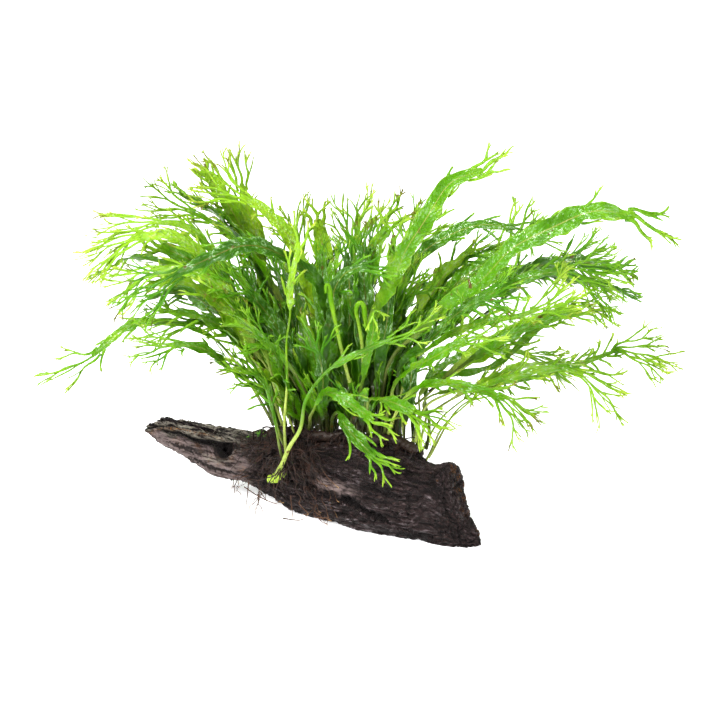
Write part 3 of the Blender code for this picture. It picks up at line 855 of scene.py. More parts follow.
STRAP, LACED, FRINGED = Habit
full = partial(Character, full=True)
CHARACTERS = {
    1: Character(0.4, STRAP, teeth=0.3, slim=0.8, spray=0.7, stalk=0.9, bare=0.66),
    2: Character(0.38, LACED, slim=0.55, stalk=0.45),
    3: Character(0.32, LACED, slim=0.55, stalk=0.45),
    4: Character(0.34, STRAP, teeth=0.2, spray=0.6),
    5: Character(0.52, STRAP, teeth=1.0, rust=0.4, slim=0.85, spray=0.8),
    6: Character(0.55, LACED),
    7: full(0.85, STRAP, slim=0.8, spray=0.3),
    8: full(0.12, STRAP, rust=0.7, slim=0.8, spray=0.7),
    9: full(0.56, STRAP, spray=0.6),
    10: full(0.42, STRAP, spray=0.6),
    11: Character(0.5, STRAP, teeth=0.5, slim=0.75, spray=0.5),
    12: full(0.5, FRINGED, slim=0.5, spray=1.2, stalk=1.0),
    13: full(0.5, LACED, rust=1.0, slim=0.8, stalk=1.0),
    14: full(0.55, LACED, slim=0.6, spray=0.7),
    15: full(0.85, STRAP, rust=0.6, slim=0.8, spray=0.8),
    16: Character(0.8, LACED, slim=0.7, spray=0.4),
    17: full(0.28, STRAP, slim=0.9, spray=0.6),
    18: full(0.9, STRAP, slim=0.9, spray=0.4),
    19: full(0.55, STRAP, rust=1.0, slim=0.9, spray=0.8),
    20: full(0.5, STRAP, teeth=0.4),
    21: full(0.35, STRAP),
    22: full(0.6, STRAP, slim=0.6, spray=0.7),
    23: Character(0.8, STRAP, slim=0.6, spray=0.5, stalk=0.8, bare=0.66),
    24: full(0.26, FRINGED, slim=0.8, spray=1.1),
    25: full(0.65, LACED, slim=0.8, spray=0.7),
    26: full(0.72, LACED, slim=0.6, spray=0.7),
    27: full(0.45, LACED, slim=0.8, spray=0.8),
    28: full(0.2, STRAP, rust=0.6),
    29: full(0.38, STRAP, slim=0.6, spray=0.8),
    30: full(0.55, STRAP, slim=0.5, spray=0.8),
    31: full(0.08, STRAP, spray=0.4),
    32: full(0.12, STRAP, spray=0.6),
    33: full(0.42, STRAP),
    34: full(0.4, STRAP, rust=1.0),
    35: Character(0.5, LACED, spray=1.2),
    36: full(0.32, FRINGED, slim=0.8, spray=1.3),
    37: full(0.36, FRINGED, slim=0.8, spray=1.2),
    38: full(0.55, LACED, slim=0.6, stalk=1.0),
    39: full(0.5, STRAP, slim=0.5, stalk=1.0),
    40: full(0.62, LACED, slim=0.6, spray=0.8, stalk=1.0),
    41: full(0.5, STRAP, teeth=0.3),
    42: full(0.24, STRAP, slim=0.9),
    43: full(0.18, LACED, slim=0.9, spray=1.2),
    44: full(0.35, LACED),
    45: full(0.25, LACED),
    46: full(0.2, STRAP),
    47: full(0.25, STRAP),
    48: full(0.15, STRAP),
    49: full(0.5, FRINGED, slim=0.8),
}


@dataclass
class Sheet:
    """A frond's middle surface: left and right points of its rows, and the middle lines of its fingers."""

    rows: list[tuple[Vector, Vector]]
    fingers: list[Line]


class SheetReader:
    """Reads a frond's middle surface from its solid, whose two skins lie a leaf's thickness apart."""

    thickness = 0.7 * MM
    slack = 0.02 * MM
    foot_width = 1.5 * MM
    column_rows = 8

    def read(self, node: Piece) -> Sheet:
        """Read one frond.

        Args:
            node: The frond's CAD node.

        Returns:
            Its middle surface.
        """
        loop = self.rim(node)
        count = len(loop)
        sides = zip(loop, [*loop[1:], loop[0]])
        misses = [abs((one - other).length - self.foot_width) for one, other in sides]
        foot = misses.index(min(misses))
        order = [loop[(foot - i) % count] for i in range(count)]
        last = self.column_rows
        rows = [(order[i], order[count - 1 - i]) for i in range(last + 1)]
        tips = order[last + 1:count - 1 - last]
        fingers = ceil((len(tips) + 1) / 5)
        left, right = rows[-1]
        middles = []
        start = 0
        for finger in range(1, fingers + 1):
            if finger < fingers:
                corner = left.lerp(right, finger / fingers)
                stop = min(range(len(tips)), key=lambda i: (tips[i] - corner).length)
            else:
                stop = len(tips)
            inner = tips[start:stop]
            start = stop + 1
            line = [(inner[i] + inner[-1 - i]) / 2 for i in range(len(inner) // 2)]
            middles.append([left.lerp(right, (finger - 0.5) / fingers), *line])
        return Sheet(rows, middles)

    def rim(self, node: Piece) -> Line:
        """Return the middle points of a frond's rim, in order.

        Args:
            node: The frond's CAD node.

        Returns:
            The points of the closed rim.
        """
        mesh = merged(node)
        pair: dict[int, int] = {}
        middles: Line = []
        through: Line = []
        for edge in mesh.edges:
            if abs(edge.calc_length() - self.thickness) < self.slack:
                for vert in edge.verts:
                    pair[vert.index] = len(middles)
                middles.append((edge.verts[0].co + edge.verts[1].co) / 2)
                through.append((edge.verts[0].co - edge.verts[1].co).normalized())
        beside: dict[int, set[int]] = {}
        for face in mesh.faces:
            ids = {pair[vert.index] for vert in face.verts if vert.index in pair}
            whole = all(vert.index in pair for vert in face.verts)
            if len(ids) == 2 and (whole or all(abs(face.normal.dot(through[i])) < 0.5 for i in ids)):
                one, other = ids
                beside.setdefault(one, set()).add(other)
                beside.setdefault(other, set()).add(one)
        mesh.free()
        walk = [0, min(beside[0])]
        while len(walk) < len(middles):
            walk.append(next(i for i in beside[walk[-1]] if i != walk[-2]))
        return [middles[i] for i in walk]


@dataclass
class LaceGrower:
    """Grows the finely forked strands at a frond's tip and along its margins."""

    seed: int
    step: float = 1.4 * MM
    spray: float = 1.0
    wander: float = 0.8 * MM
    tip_half: float = 0.26 * MM
    spacings: tuple[float, ...] = (5.2 * MM, 7.5 * MM)
    longest: tuple[float, ...] = (21 * MM, 8.5 * MM)
    homing: tuple[float, float] = (0.5, 1.05)
    prong: float = 4.2 * MM
    prong_angle: float = radians(28)
    fork_low: float = radians(13)
    fork_high: float = radians(34)
    fork_tilt: float = 0.3
    thinning: float = 0.86
    taper: float = 1.9
    strands: list[Strand] = field(default_factory=list)

    def __post_init__(self) -> None:
        """Seed the draws."""
        self.draw = Random(self.seed)

    def follow(self, line: Line, normal: Vector, half: float, growth: float) -> None:
        """Grow a finger of the forked tip along a line.

        Args:
            line: The points that it passes.
            normal: The way it faces at its start.
            half: Its half width at its start.
            growth: How grown it is at its start, from 0 at the foot to 1 at a tip.
        """
        points = smooth_line(line, self.step)
        phase = self.draw.uniform(0, PHASES)
        faces = []
        for i in range(len(points)):
            ahead = heading_at(points, i)
            normal = (normal - ahead * normal.dot(ahead) / ahead.length_squared).normalized()
            faces.append(normal)
        for i, point in enumerate(points):
            share = i / (len(points) - 1)
            ahead = heading_at(points, i).normalized()
            wander = sin(phase + share * 9.0) * self.wander * sin(pi * share)
            points[i] = point + ahead.cross(faces[i]) * wander
        self.add(points, faces, half, growth, 0)

    def sprout(self, start: Vector, heading: Vector, normal: Vector, length: float, half: float,
               growth: float, level: int, back: float = 0.0) -> None:
        """Grow one free strand.

        Args:
            start: Where it starts.
            heading: The way it sets out.
            normal: The way it faces.
            length: Its length.
            half: Its half width at its start.
            growth: How grown it is at its start.
            level: How many forks lie before it.
            back: The angle by which it bends back to run beside the strand that it leaves.
        """
        count = max(3, round(length / self.step))
        bend = (self.draw.uniform(-0.7, 0.7) + back) / count
        curl = self.draw.uniform(-0.5, 0.6) / count
        points, faces = [start], [normal]
        for _ in range(count):
            turn = Matrix.Rotation(bend, 3, normal) @ Matrix.Rotation(curl, 3, heading.cross(normal))
            heading = (turn @ heading).normalized()
            normal = (normal - heading * normal.dot(heading)).normalized()
            points.append(points[-1] + heading * length / count)
            faces.append(normal)
        self.add(points, faces, half, growth, level)

    def add(self, points: Line, faces: Line, half: float, growth: float, level: int) -> None:
        """Add a strand and the forks that leave it.

        Args:
            points: Its points.
            faces: The way it faces at each.
            half: Its half width at its start.
            growth: How grown it is at its start.
            level: How many forks lie before it.
        """
        count = len(points) - 1
        length = sum((b - a).length for a, b in zip(points, points[1:]))
        halves = []
        for i in range(count + 1):
            share = i / count
            swell = 1 + 0.12 * sin(share * 11 + length * 9000)
            halves.append((half + (self.tip_half - half) * share ** self.taper) * swell)
        halves[-1] *= 0.3
        grown = [growth + (1 - growth) * i / count for i in range(count + 1)]
        self.strands.append(Strand(points, faces, halves, grown))
        if length > 1.2 * self.prong and self.draw.random() < 0.5:
            self.antler(points, faces, halves[-3], grown[-3])
        if level >= len(self.spacings):
            return
        place = length * 0.2 + self.spacings[level] * self.draw.uniform(0.1, 0.8)
        hand = self.draw.choice((-1, 1))
        while place < length * 0.93:
            share = place / length
            leg = min(int(share * count), count - 1)
            inner = share * count - leg
            start = points[leg].lerp(points[leg + 1], inner)
            ahead = (points[leg + 1] - points[leg]).normalized()
            normal = faces[leg]
            angle = self.draw.uniform(self.fork_low, self.fork_high) * hand * self.spray
            tilt = Matrix.Rotation(self.draw.gauss(0, self.fork_tilt), 3, ahead)
            heading = tilt @ (Matrix.Rotation(angle, 3, normal) @ ahead)
            reach = (length - place) * self.draw.uniform(0.6, 1.1)
            reach = min(max(reach, 2.2 * MM), self.longest[level])
            self.sprout(start, heading, tilt @ normal, reach, halves[leg] * self.thinning, grown[leg],
                        level + 1, -angle * self.draw.uniform(*self.homing))
            hand = -hand if self.draw.random() < 0.65 else hand
            place += self.spacings[level] * self.draw.uniform(0.6, 1.35)

    def antler(self, points: Line, faces: Line, half: float, growth: float) -> None:
        """Fork a strand's end into two prongs.

        Args:
            points: The strand's points.
            faces: The way it faces at each.
            half: The prong's half width.
            growth: How grown the strand is there.
        """
        ahead = (points[-2] - points[-3]).normalized()
        angle = self.draw.choice((-1, 1)) * self.prong_angle * self.draw.uniform(0.7, 1.4) * self.spray
        heading = Matrix.Rotation(angle, 3, faces[-3]) @ ahead
        reach = self.prong * self.draw.uniform(0.5, 1.1)
        ends = [points[-3] + heading * reach * share for share in (0, 0.5, 1)]
        self.strands.append(Strand(ends, [faces[-3]] * 3, [half, half * 0.9, self.tip_half * 0.8],
                                   [growth, (growth + 1) / 2, 1.0]))


@dataclass
class Frond:
    """One finished frond: round stalk, quilted blade and laced tip, on the sheet of its solid."""

    node: str
    number: int
    character: Character
    spacing: float = 1.3 * MM
    columns: tuple[float, ...] = (0.0, 0.12, 0.28, 0.46, 0.64, 0.82, 0.95, 1.0)
    stalk_half: float = 0.9 * MM
    rib_half: float = 0.3 * MM
    skin_half: float = 0.13 * MM
    fold: float = 0.2
    quilt: float = 0.24 * MM
    quilt_pitch: float = 3.3 * MM
    wave: float = 1.1 * MM
    wave_pitches: tuple[float, float] = (2.5 * MM, 1.05 * MM)
    lobe_pitch: float = 1.6 * MM
    tooth_pitch: float = 1.15 * MM
    drift_pitch: float = 5 * MM
    narrowest: float = 0.75 * MM
    twist: float = 0.3
    fork_growth: float = 0.62
    skin_seeds: int = 400
    lace_seeds: int = 900
    first_small: int = 100

    def build(self, sheet: Sheet, sweeper: Sweeper, finish: Finish) -> Piece:
        """Build the frond.

        Args:
            sheet: The middle surface of its solid.
            sweeper: What turns its lace into strands.
            finish: What it is dressed in.

        Returns:
            The finished piece, before it is handed over.
        """
        cloth = Cloth()
        self.gather(sheet, cloth)
        piece = cloth.to_object(f"laced_{self.node}")
        sweeper.sweep(piece, finish, Profile.LACE)
        return piece

    def gather(self, sheet: Sheet, cloth: Cloth) -> None:
        """Gather the frond's skin and the lines of its lace.

        Args:
            sheet: Its middle surface.
            cloth: Where they are gathered.
        """
        self.draw = Random(self.skin_seeds + self.number)
        self.cloth = cloth
        rows = self.enliven(self.spine(sheet))
        self.blade(rows)
        grower = LaceGrower(self.lace_seeds + self.number, spray=self.character.spray)
        if self.character.habit is FRINGED:
            grower.spacings = tuple(0.7 * spacing for spacing in grower.spacings)
        self.tip_lace(grower, rows, sheet)
        self.margin_lace(grower, rows)
        for strand in grower.strands:
            cloth.add_strand(strand, tone=self.character.tone, rust=self.character.rust, across=0.5)

    def spine(self, sheet: Sheet) -> list[Row]:
        """Return the frond's fine rows.

        Args:
            sheet: The middle surface of its solid.

        Returns:
            For each row its middle, tangent, side, normal and half width.
        """
        coarse = [(*((a + b) / 2), *(b - a).normalized(), (b - a).length / 2) for a, b in sheet.rows]
        fine = smooth(np.array(coarse), self.spacing)
        middles = [Vector(row[:3]) for row in fine]
        rows = []
        lean = 0.0
        for i, row in enumerate(fine):
            tangent = heading_at(middles, i).normalized()
            side = Vector(row[3:6])
            side = (side - tangent * side.dot(tangent)).normalized()
            normal = side.cross(tangent)
            lean += normal.dot(Vector((0, -0.4, 1)))
            rows.append([middles[i], tangent, side, normal, max(row[6], 0.2 * MM)])
        if lean < 0:
            rows = [[middle, tangent, -side, -normal, half] for middle, tangent, side, normal, half in rows]
        widest = max(row[4] for row in rows)
        for i, row in enumerate(rows):
            row[4] = self.width(row[4], widest, i / (len(rows) - 1))
        return rows

    def width(self, half: float, widest: float, share: float) -> float:
        """Return the half width that the frond's character gives a row.

        Args:
            half: The row's half width on the solid.
            widest: The greatest half width on the solid.
            share: How far along the frond the row is.

        Returns:
            The row's own half width.
        """
        kind = self.character
        if kind.full:
            half = max(half, widest * 0.8 * rise(share, 0.1, 0.6)) * (1 - 0.4 * rise(share, 0.72, 1.0))
        elif kind.habit is STRAP:
            half *= 1 - 0.42 * rise(share, 0.6, 1.0)
        if kind.bare:
            half = min(half, (0.7 + 6 * rise(share, kind.bare, kind.bare + 0.2)) * MM)
        return half if kind.slim == 1 else max(half * kind.slim, min(half, self.narrowest))

    def enliven(self, rows: list[Row]) -> list[Row]:
        """Give the even rows a slow twist and a slight meander.

        Args:
            rows: The rows of the plain sheet.

        Returns:
            The rows as the frond has them.
        """
        phases = [self.draw.uniform(0, PHASES) for _ in range(3)]
        swing = self.twist * self.draw.uniform(0.6, 1.3)
        lively = []
        for i, (middle, tangent, side, normal, half) in enumerate(rows):
            share = i / (len(rows) - 1)
            along = i * self.spacing
            ease = sin(pi * min(share * 1.04, 1)) ** 0.7
            turn = Matrix.Rotation(swing * ease * sin(along / (11 * MM) + phases[0]), 3, tangent)
            side, normal = turn @ side, turn @ normal
            middle = middle + side * ease * 0.7 * MM * sin(along / (7 * MM) + phases[1])
            middle = middle + normal * ease * 0.8 * MM * sin(along / (9 * MM) + phases[2])
            lively.append((middle, tangent, side, normal, half))
        return lively

    def blade(self, rows: list[Row]) -> None:
        """Lay the closed skin of stalk and blade round the rows.

        Args:
            rows: The frond's rows.
        """
        spread = [-u for u in reversed(self.columns[1:])] + list(self.columns)
        phases = [self.draw.uniform(0, PHASES) for _ in range(6)]
        last = len(rows) - 1
        self.halves = []
        rings = []
        for i, (middle, _, side, normal, half) in enumerate(rows):
            share = i / last
            along = i * self.spacing
            bladed = rise(half, 0.85 * MM, 2.2 * MM)
            stalk = self.stalk_half * self.stoutness() * (1 - 0.35 * rise(share, 0.0, 0.6))
            rib = self.rib_half * (1.6 - 1.2 * share)
            wide = half + (stalk - half) * (1 - bladed) if half < stalk * 2 else half
            closing = sqrt(max(1 - rise(share, 0.94, 1.02) * 0.8, 0.05))
            ring = []
            widths = []
            for u in spread:
                hand = 1 if u > 0 else -1
                drift = noise.noise(Vector((along / self.drift_pitch, phases[hand] * 7, 0)))
                lobes = 0.05 * sin(along / self.lobe_pitch + phases[hand]) + 0.3 * drift
                tooth = self.character.teeth * 0.42 * (abs(sin(along / self.tooth_pitch + hand)) - 0.6)
                reach = wide * closing * (1 + bladed * (lobes + tooth))
                slow, quick = (along / pitch for pitch in self.wave_pitches)
                wave = sin(slow + phases[hand + 3]) + 0.5 * sin(quick + phases[hand + 2])
                cells = 2 * pi * (along - 1.1 * abs(u) * half) / self.quilt_pitch
                pucker = sin(cells + phases[hand] + 5 * drift)
                lift = bladed * (self.fold * half * (abs(u) ** 1.4 - 0.35)
                                 + self.quilt * pucker * sin(pi * min(abs(u), 1)) ** 0.8
                                 + self.wave * min(half / (5 * MM), 1.2) * wave * abs(u) ** 2.6)
                round_half = stalk * sqrt(max(1 - u * u, 0))
                flat_half = self.skin_half * sqrt(max(1 - u ** 6, 0))
                keel = rib * exp(-(u * half / (0.5 * MM)) ** 2) if abs(u) < 1 else 0
                top = (1 - bladed) * round_half + bladed * (flat_half + 0.45 * keel)
                under = (1 - bladed) * round_half + bladed * (flat_half + 1.1 * keel)
                ring.append((u, middle + side * u * reach + normal * lift, top, under))
                widths.append(reach)
            self.halves.append(max(widths))
            rings.append((ring, normal, share, along))
        self.loft(rings)

    def stoutness(self) -> float:
        """Return the stalk's thickness beside a usual one.

        Returns:
            The share, which is less on slim fronds and on the crown's small leaves.
        """
        if self.number == 1:
            return 1.15
        small = 0.62 if self.number >= self.first_small else 1.0
        return min(0.35 + 0.65 * self.character.slim, 1.0) * small

    def loft(self, rings: list[tuple]) -> None:
        """Join the rings of the blade into one closed skin.

        Args:
            rings: For each row its points with their thickness, its normal, share and distance along.
        """
        kind = self.character
        cloth = self.cloth
        same = {"tone": kind.tone, "fresh": kind.fresh(), "rust": kind.rust}
        loops = []
        for ring, normal, share, along in rings:
            numbers = {"growth": share * self.fork_growth, "along": along, **same}
            upper = [cloth.point(place + normal * top, normal, across=u, **numbers)
                     for u, place, top, _ in ring]
            lower = [cloth.point(place - normal * under, normal, across=u, **numbers)
                     for u, place, _, under in reversed(ring[1:-1])]
            loops.append(upper + lower)
        cloth.bridge(loops)
        for loop, order in ((loops[0], -1), (loops[-1], 1)):
            centre = sum((cloth.verts[i] for i in loop), Vector()) / len(loop)
            growth, along = (cloth.stored[name][loop[0]] for name in ("growth", "along"))
            pole = cloth.point(centre, growth=growth, along=along, **same)
            for corners in zip(loop, [*loop[1:], loop[0]], [pole] * len(loop)):
                cloth.faces.append(corners[::order])

    def tip_lace(self, grower: LaceGrower, rows: list[Row], sheet: Sheet) -> None:
        """Grow the fingers of the forked tip.

        Args:
            grower: What grows the strands.
            rows: The frond's rows.
            sheet: The middle surface of its solid.
        """
        middle, tangent, side, normal, half = rows[-1]
        count = len(sheet.fingers)
        for line in sheet.fingers:
            inner = line[0].lerp(middle, 0.15) - tangent * 4.0 * MM
            width = max(half / count * 1.2, 0.68 * MM)
            grower.follow([inner, *line], normal, width, self.fork_growth - 0.06)

    def margin_lace(self, grower: LaceGrower, rows: list[Row]) -> None:
        """Grow the sprigs along the blade's margins.

        Args:
            grower: What grows the strands.
            rows: The frond's rows.
        """
        first, pitch = self.character.habit.value
        for hand in (-1, 1):
            place = first + self.draw.uniform(0, 0.08)
            while place < 0.97:
                i = round(place * (len(rows) - 1))
                middle, tangent, side, normal, half = rows[i]
                start = middle + side * hand * self.halves[i] * 0.86
                angle = self.draw.uniform(0.35, 0.85) * hand * self.character.spray
                heading = (tangent * cos(angle) + side * sin(angle)).normalized()
                tilt = Matrix.Rotation(self.draw.gauss(0, 0.45), 3, tangent)
                length = self.draw.uniform(4, 12) * MM * (0.7 + 0.5 * place)
                grower.sprout(start, tilt @ heading, tilt @ normal, length, 0.75 * MM,
                              self.fork_growth * place + 0.08, 1)
                place += pitch * self.draw.uniform(0.6, 1.4) / (self.spacing * len(rows))


@dataclass
class Fronds:
    """All the fronds of the plant."""

    finish: Finish
    sweeper: Sweeper

    def build(self) -> None:
        """Build each frond in place of its solid."""
        reader = SheetReader()
        for name in sorted(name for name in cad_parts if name.startswith("frond_")):
            number = int(name.rsplit("_", 1)[1])
            sheet = reader.read(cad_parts[name])
            piece = Frond(name, number, CHARACTERS[number]).build(sheet, self.sweeper, self.finish)
            hand_over(piece, Slot.LEAF, name)


@dataclass(frozen=True)
class Offshoot:
    """A smaller leaf of a known course: the places it passes as seen from the front, its width and kind."""

    places: Course
    width: float
    character: Character
    bladed: float = 1.0


def offshoots() -> tuple[Offshoot, ...]:
    """List the smaller leaves that show by themselves.

    Returns:
        The leaves, by their places in the crown's pieces.
    """
    leaf = Character(0.5, LACED)
    light = Character(0.75, STRAP)
    stalk = Character(1.0, STRAP)
    olive = Character(0.35, STRAP, rust=1.0)
    mossy = Character(0.3, FRINGED)
    rusty = Character(0.42, FRINGED, rust=1.0)
    bright = Character(0.8, FRINGED, spray=0.7)
    deep = Character(0.2, FRINGED, spray=1.2)
    return (
        Offshoot(((-36, 62, 6), (-56, 96, 8), (-72, 112, 8), (-90, 121, 4)), 10, leaf),
        Offshoot(((-38, 60, -6), (-58, 88, -16), (-72, 102, -20), (-86, 106, -22)), 9, light),
        Offshoot(((-40, 56, -4), (-54, 78, -10), (-68, 87, -12), (-86, 92, -14)), 9, leaf),
        Offshoot(((-28, 80, 14), (-48, 118, 16), (-60, 132, 14), (-72, 141, 10)), 9, leaf),
        Offshoot(((-34, 60, 2), (-54, 84, 0), (-70, 95, -4), (-81, 101, -6), (-94, 98, -8)), 10, mossy),
        Offshoot(((-30, 66, 6), (-50, 88, 6), (-66, 104, 4), (-78, 109, 2), (-90, 106, 0)), 10, leaf),
        Offshoot(((-26, 74, 20), (-46, 112, 24), (-56, 132, 24), (-62, 143, 22), (-70, 154, 20)), 9, bright),
        Offshoot(((-30, 78, 16), (-52, 120, 18), (-64, 134, 16), (-78, 143, 14)), 9, mossy),
        Offshoot(((40, 84, 20), (72, 110, 22), (90, 114, 20), (104, 113, 18), (114, 111, 16)), 8, deep),
        Offshoot(((40, 80, 12), (76, 106, 14), (94, 107, 12), (108, 104, 10), (118, 101, 8)), 8, deep),
        Offshoot(((-28, 56, -18), (-44, 78, -24), (-53, 88, -27), (-60, 97, -30)), 6, rusty),
        Offshoot(((-24, 54, -24), (-38, 74, -30), (-46, 82, -33), (-54, 88, -36)), 6, rusty),
        Offshoot(((30, 56, -22), (58, 76, -28), (78, 86, -31), (94, 90, -33)), 6, rusty),
        Offshoot(((-40, 70, 4), (-65, 101, 2), (-88, 114, 0), (-103, 116, -2), (-112, 112, -4)), 9, leaf),
        Offshoot(((12, 60, 4), (24, 88, 6), (36, 108, 4), (50, 120, 0)), 11, light),
        Offshoot(((24, 50, -10), (48, 70, -20), (70, 84, -26), (90, 93, -28)), 9, light),
        Offshoot(((30, 46, -14), (50, 57, -26), (68, 66, -32), (88, 69, -36)), 8, light),
        Offshoot(((27, 22, -14), (36, 38, -22), (47, 51, -28), (60, 60, -32)), 6, stalk, 0.0),
        Offshoot(((25, 24, -12), (33, 40, -18), (42, 50, -24), (54, 58, -30)), 6, stalk, 0.0),
        Offshoot(((30, 26, -10), (40, 43, -14), (50, 53, -20), (66, 62, -24)), 6, stalk, 0.0),
        Offshoot(((-36, 36, -6), (-41, 50, -8), (-48, 62, -10), (-58, 68, -12)), 6, olive, 0.5),
        Offshoot(((-34, 34, -4), (-38, 48, -2), (-42, 60, 0), (-52, 72, 0)), 6, light, 0.8),
        Offshoot(((-30, 36, -14), (-34, 50, -20), (-42, 62, -24), (-54, 66, -26)), 7, light, 0.9),
    )


@dataclass
class YoungShoots:
    """Two young stalks whose tops still curl."""

    finish: Finish
    sweeper: Sweeper
    thick: float = 1.0 * MM
    spacing: float = 0.8 * MM
    tone: float = 0.72
    courses: tuple[Course, ...] = (
        ((-5.5, 60, -34), (-8.1, 70, -38), (-11.7, 86, -44), (-13.5, 95, -47), (-14.6, 102, -49),
         (-15.4, 103.6, -50), (-16.2, 102.4, -50), (-16.0, 99.8, -50)),
        ((0.9, 64, -32), (0.0, 77, -36), (-1.4, 86, -40), (-2.6, 91.5, -42), (-2.0, 94.6, -43),
         (-0.2, 95.4, -43), (1.0, 93.2, -43), (1.5, 88, -42), (1.9, 84, -41)),
    )

    def build(self) -> None:
        """Build the shoots."""
        cloth = Cloth()
        for course in self.courses:
            points = smooth_line([seen(*place) for place in course], self.spacing)
            last = len(points) - 1
            halves = [self.thick * (0.8 + 0.35 * rise(i / last, 0.5, 0.8) - 0.55 * rise(i / last, 0.85, 1.0))
                      for i in range(last + 1)]
            growth = [0.16 + 0.2 * i / last for i in range(last + 1)]
            cloth.add_strand(Strand(points, [FRONT] * (last + 1), halves, growth),
                             tone=self.tone, fresh=self.tone, across=0.5)
        piece = cloth.to_object("young_shoots")
        self.sweeper.sweep(piece, self.finish, Profile.SHOOT)
        hand_over(piece, Slot.LEAF)


@dataclass
class Crown:
    """The smaller leaves that fill the crown between the fronds, gathered into a few pieces."""

    finish: Finish
    sweeper: Sweeper
    pieces: int = 6
    leaves_per_piece: int = 20
    lengths: tuple[tuple[float, float], ...] = ((20, 42), (42, 70), (60, 98), (70, 98))
    foot: float = 0.55 * MM
    seed: int = 23
    shown_seeds: int = 7000

    def build(self, stems: list[Line]) -> None:
        """Build the crown's leaves on the stems.

        Args:
            stems: The middle lines of the main stem and of its back branch.
        """
        self.draw = Random(self.seed)
        shown = offshoots()
        for number in range(1, self.pieces + 1):
            cloth = Cloth()
            for leaf in range(self.leaves_per_piece):
                stem = stems[0] if self.draw.random() < 0.72 else stems[1]
                laced = self.draw.random() < 0.15
                # The crown's filler leaves get low tones and dark stalks: partly older, darker leaves, partly
                # painted shade of the crown's crowded inside.
                tone = self.draw.uniform(0.02, 0.25) if laced else self.draw.choice((0.05, 0.16, 0.3, 0.52))
                character = Character(tone, LACED if laced else STRAP, rust=float(self.draw.random() < 0.4),
                                      spray=self.draw.uniform(0.5, 1.0), stalk=0.4 * tone)
                Frond(f"crown_{number}", number * 100 + leaf, character).gather(self.inner(stem), cloth)
            for leaf, offshoot in list(enumerate(shown))[number - 1::self.pieces]:
                line = [seen(*place) for place in offshoot.places]
                sheet = self.sheet(line, offshoot.width * MM, offshoot.bladed)
                Frond(f"crown_{number}", self.shown_seeds + leaf, offshoot.character).gather(sheet, cloth)
            piece = cloth.to_object(f"crown_leaves_{number}")
            self.sweeper.sweep(piece, self.finish, Profile.LACE)
            hand_over(piece, Slot.LEAF)

    def inner(self, stem: Line) -> Sheet:
        """Lay out one leaf that grows from a stem.

        Args:
            stem: The stem's middle line.

        Returns:
            Its middle surface.
        """
        line: Line = []
        while not self.keeps_off(line):
            line = self.course(stem)
        plain = (line[-1] - line[0]).length < 66 * MM
        return self.sheet(line, self.draw.uniform(5.0, 10.0) * MM, 1.0, plain)

    @staticmethod
    def keeps_off(line: Line) -> bool:
        """Tell whether a leaf keeps off the bare places beside the crown's foot.

        Args:
            line: The leaf's middle line, empty before it is drawn.

        Returns:
            Whether it has a line, and one that keeps off.
        """
        for point in line:
            risen = (point.z * cos(VIEW_TILT) + point.y * sin(VIEW_TILT)) / MM + VIEW_LOW
            if abs(point.x / MM + 8) > 30 and risen < 64:
                return False
        return bool(line)

    def course(self, stem: Line) -> Line:
        """Draw the line of one leaf that grows from a stem.

        Args:
            stem: The stem's middle line.

        Returns:
            Five points of the leaf's middle line.
        """
        start = self.draw.choice(stem) + UP * 1.5 * MM
        fan = (start.x / MM + 3) / 33 * 0.52 + self.draw.gauss(0, 0.17)
        fan = min(max(fan, -0.6), 0.72)
        length = self.draw.uniform(*self.draw.choice(self.lengths)) * MM
        lean = self.draw.uniform(-0.35 if length < 46 * MM else 0.0, 0.55)
        way = Vector((sin(fan) * cos(lean), sin(lean), cos(fan) * cos(lean)))
        length *= 1 - 0.35 * abs(fan)
        sag = self.draw.uniform(0.05, 0.34) * (1 - 0.5 * abs(fan))
        flat = Vector((way.x, way.y, 0)).normalized()
        line = []
        for i in range(5):
            t = i / 4
            line.append(start + way * length * t + (flat * 0.5 - UP * 0.8) * sag * length * t * t)
        return line

    def sheet(self, line: Line, width: float, bladed: float, plain: bool = False) -> Sheet:
        """Lay out the middle surface of one leaf along a line.

        Args:
            line: Points of its middle line from its foot.
            width: Its width.
            bladed: How much of its blade there is, from 0 for a bare stalk.
            plain: Whether it ends in a single short point.

        Returns:
            Its middle surface.
        """
        places = smooth(np.array([tuple(place) for place in line]), 3 * MM)
        way = Vector(places[-1] - places[0])
        side = Vector((way.x, way.y, 0)).normalized().cross(UP)
        tilt = self.draw.uniform(-0.9, 0.9)
        side = Matrix.Rotation(tilt, 3, way.normalized()) @ side
        rows = []
        last = len(places) - 1
        for i, place in enumerate(places):
            t = i / last
            swell = bladed * rise(t, 0.1, 0.55) * (1 - 0.4 * rise(t, 0.72, 1.0))
            half = side * (self.foot + (width / 2 - self.foot) * swell)
            rows.append((Vector(place) - half, Vector(place) + half))
        count = 1 if plain else self.draw.choice((2, 3, 3))
        left, right = rows[-1]
        heading = (rows[-1][0] + rows[-1][1] - rows[-2][0] - rows[-2][1]).normalized()
        reach = self.draw.uniform(7, 15) * MM * (0.4 if plain else 1.0)
        fingers = []
        for finger in range(count):
            off = (finger - (count - 1) / 2) / max((count - 1) / 2, 0.5)
            base = left.lerp(right, (finger + 0.5) / count)
            bent = (heading + side * off * 0.45).normalized()
            fingers.append([base, base + bent * reach * 0.5, base + (bent - UP * 0.15) * reach])
        return Sheet(rows, fingers)


# --- Driftwood


@dataclass(frozen=True)
class Groove:
    """A split in the wood, from one place to another along it and up it, with its half width and depth."""

    start: tuple[float, float]
    end: tuple[float, float]
    half: float
    depth: float


@dataclass(frozen=True)
class Knot:
    """A knot: its place along and up the wood, the pitch and height of its rings, its reach and its pit."""

    along: float
    height: float
    pitch: float
    ridge: float
    reach: float
    pit: float


@dataclass(frozen=True)
class Spot:
    """A point of the wood's surface: its place along, across and up the wood, and its normal likewise."""

    along: float
    across: float
    height: float
    level: float
    normal: Vector


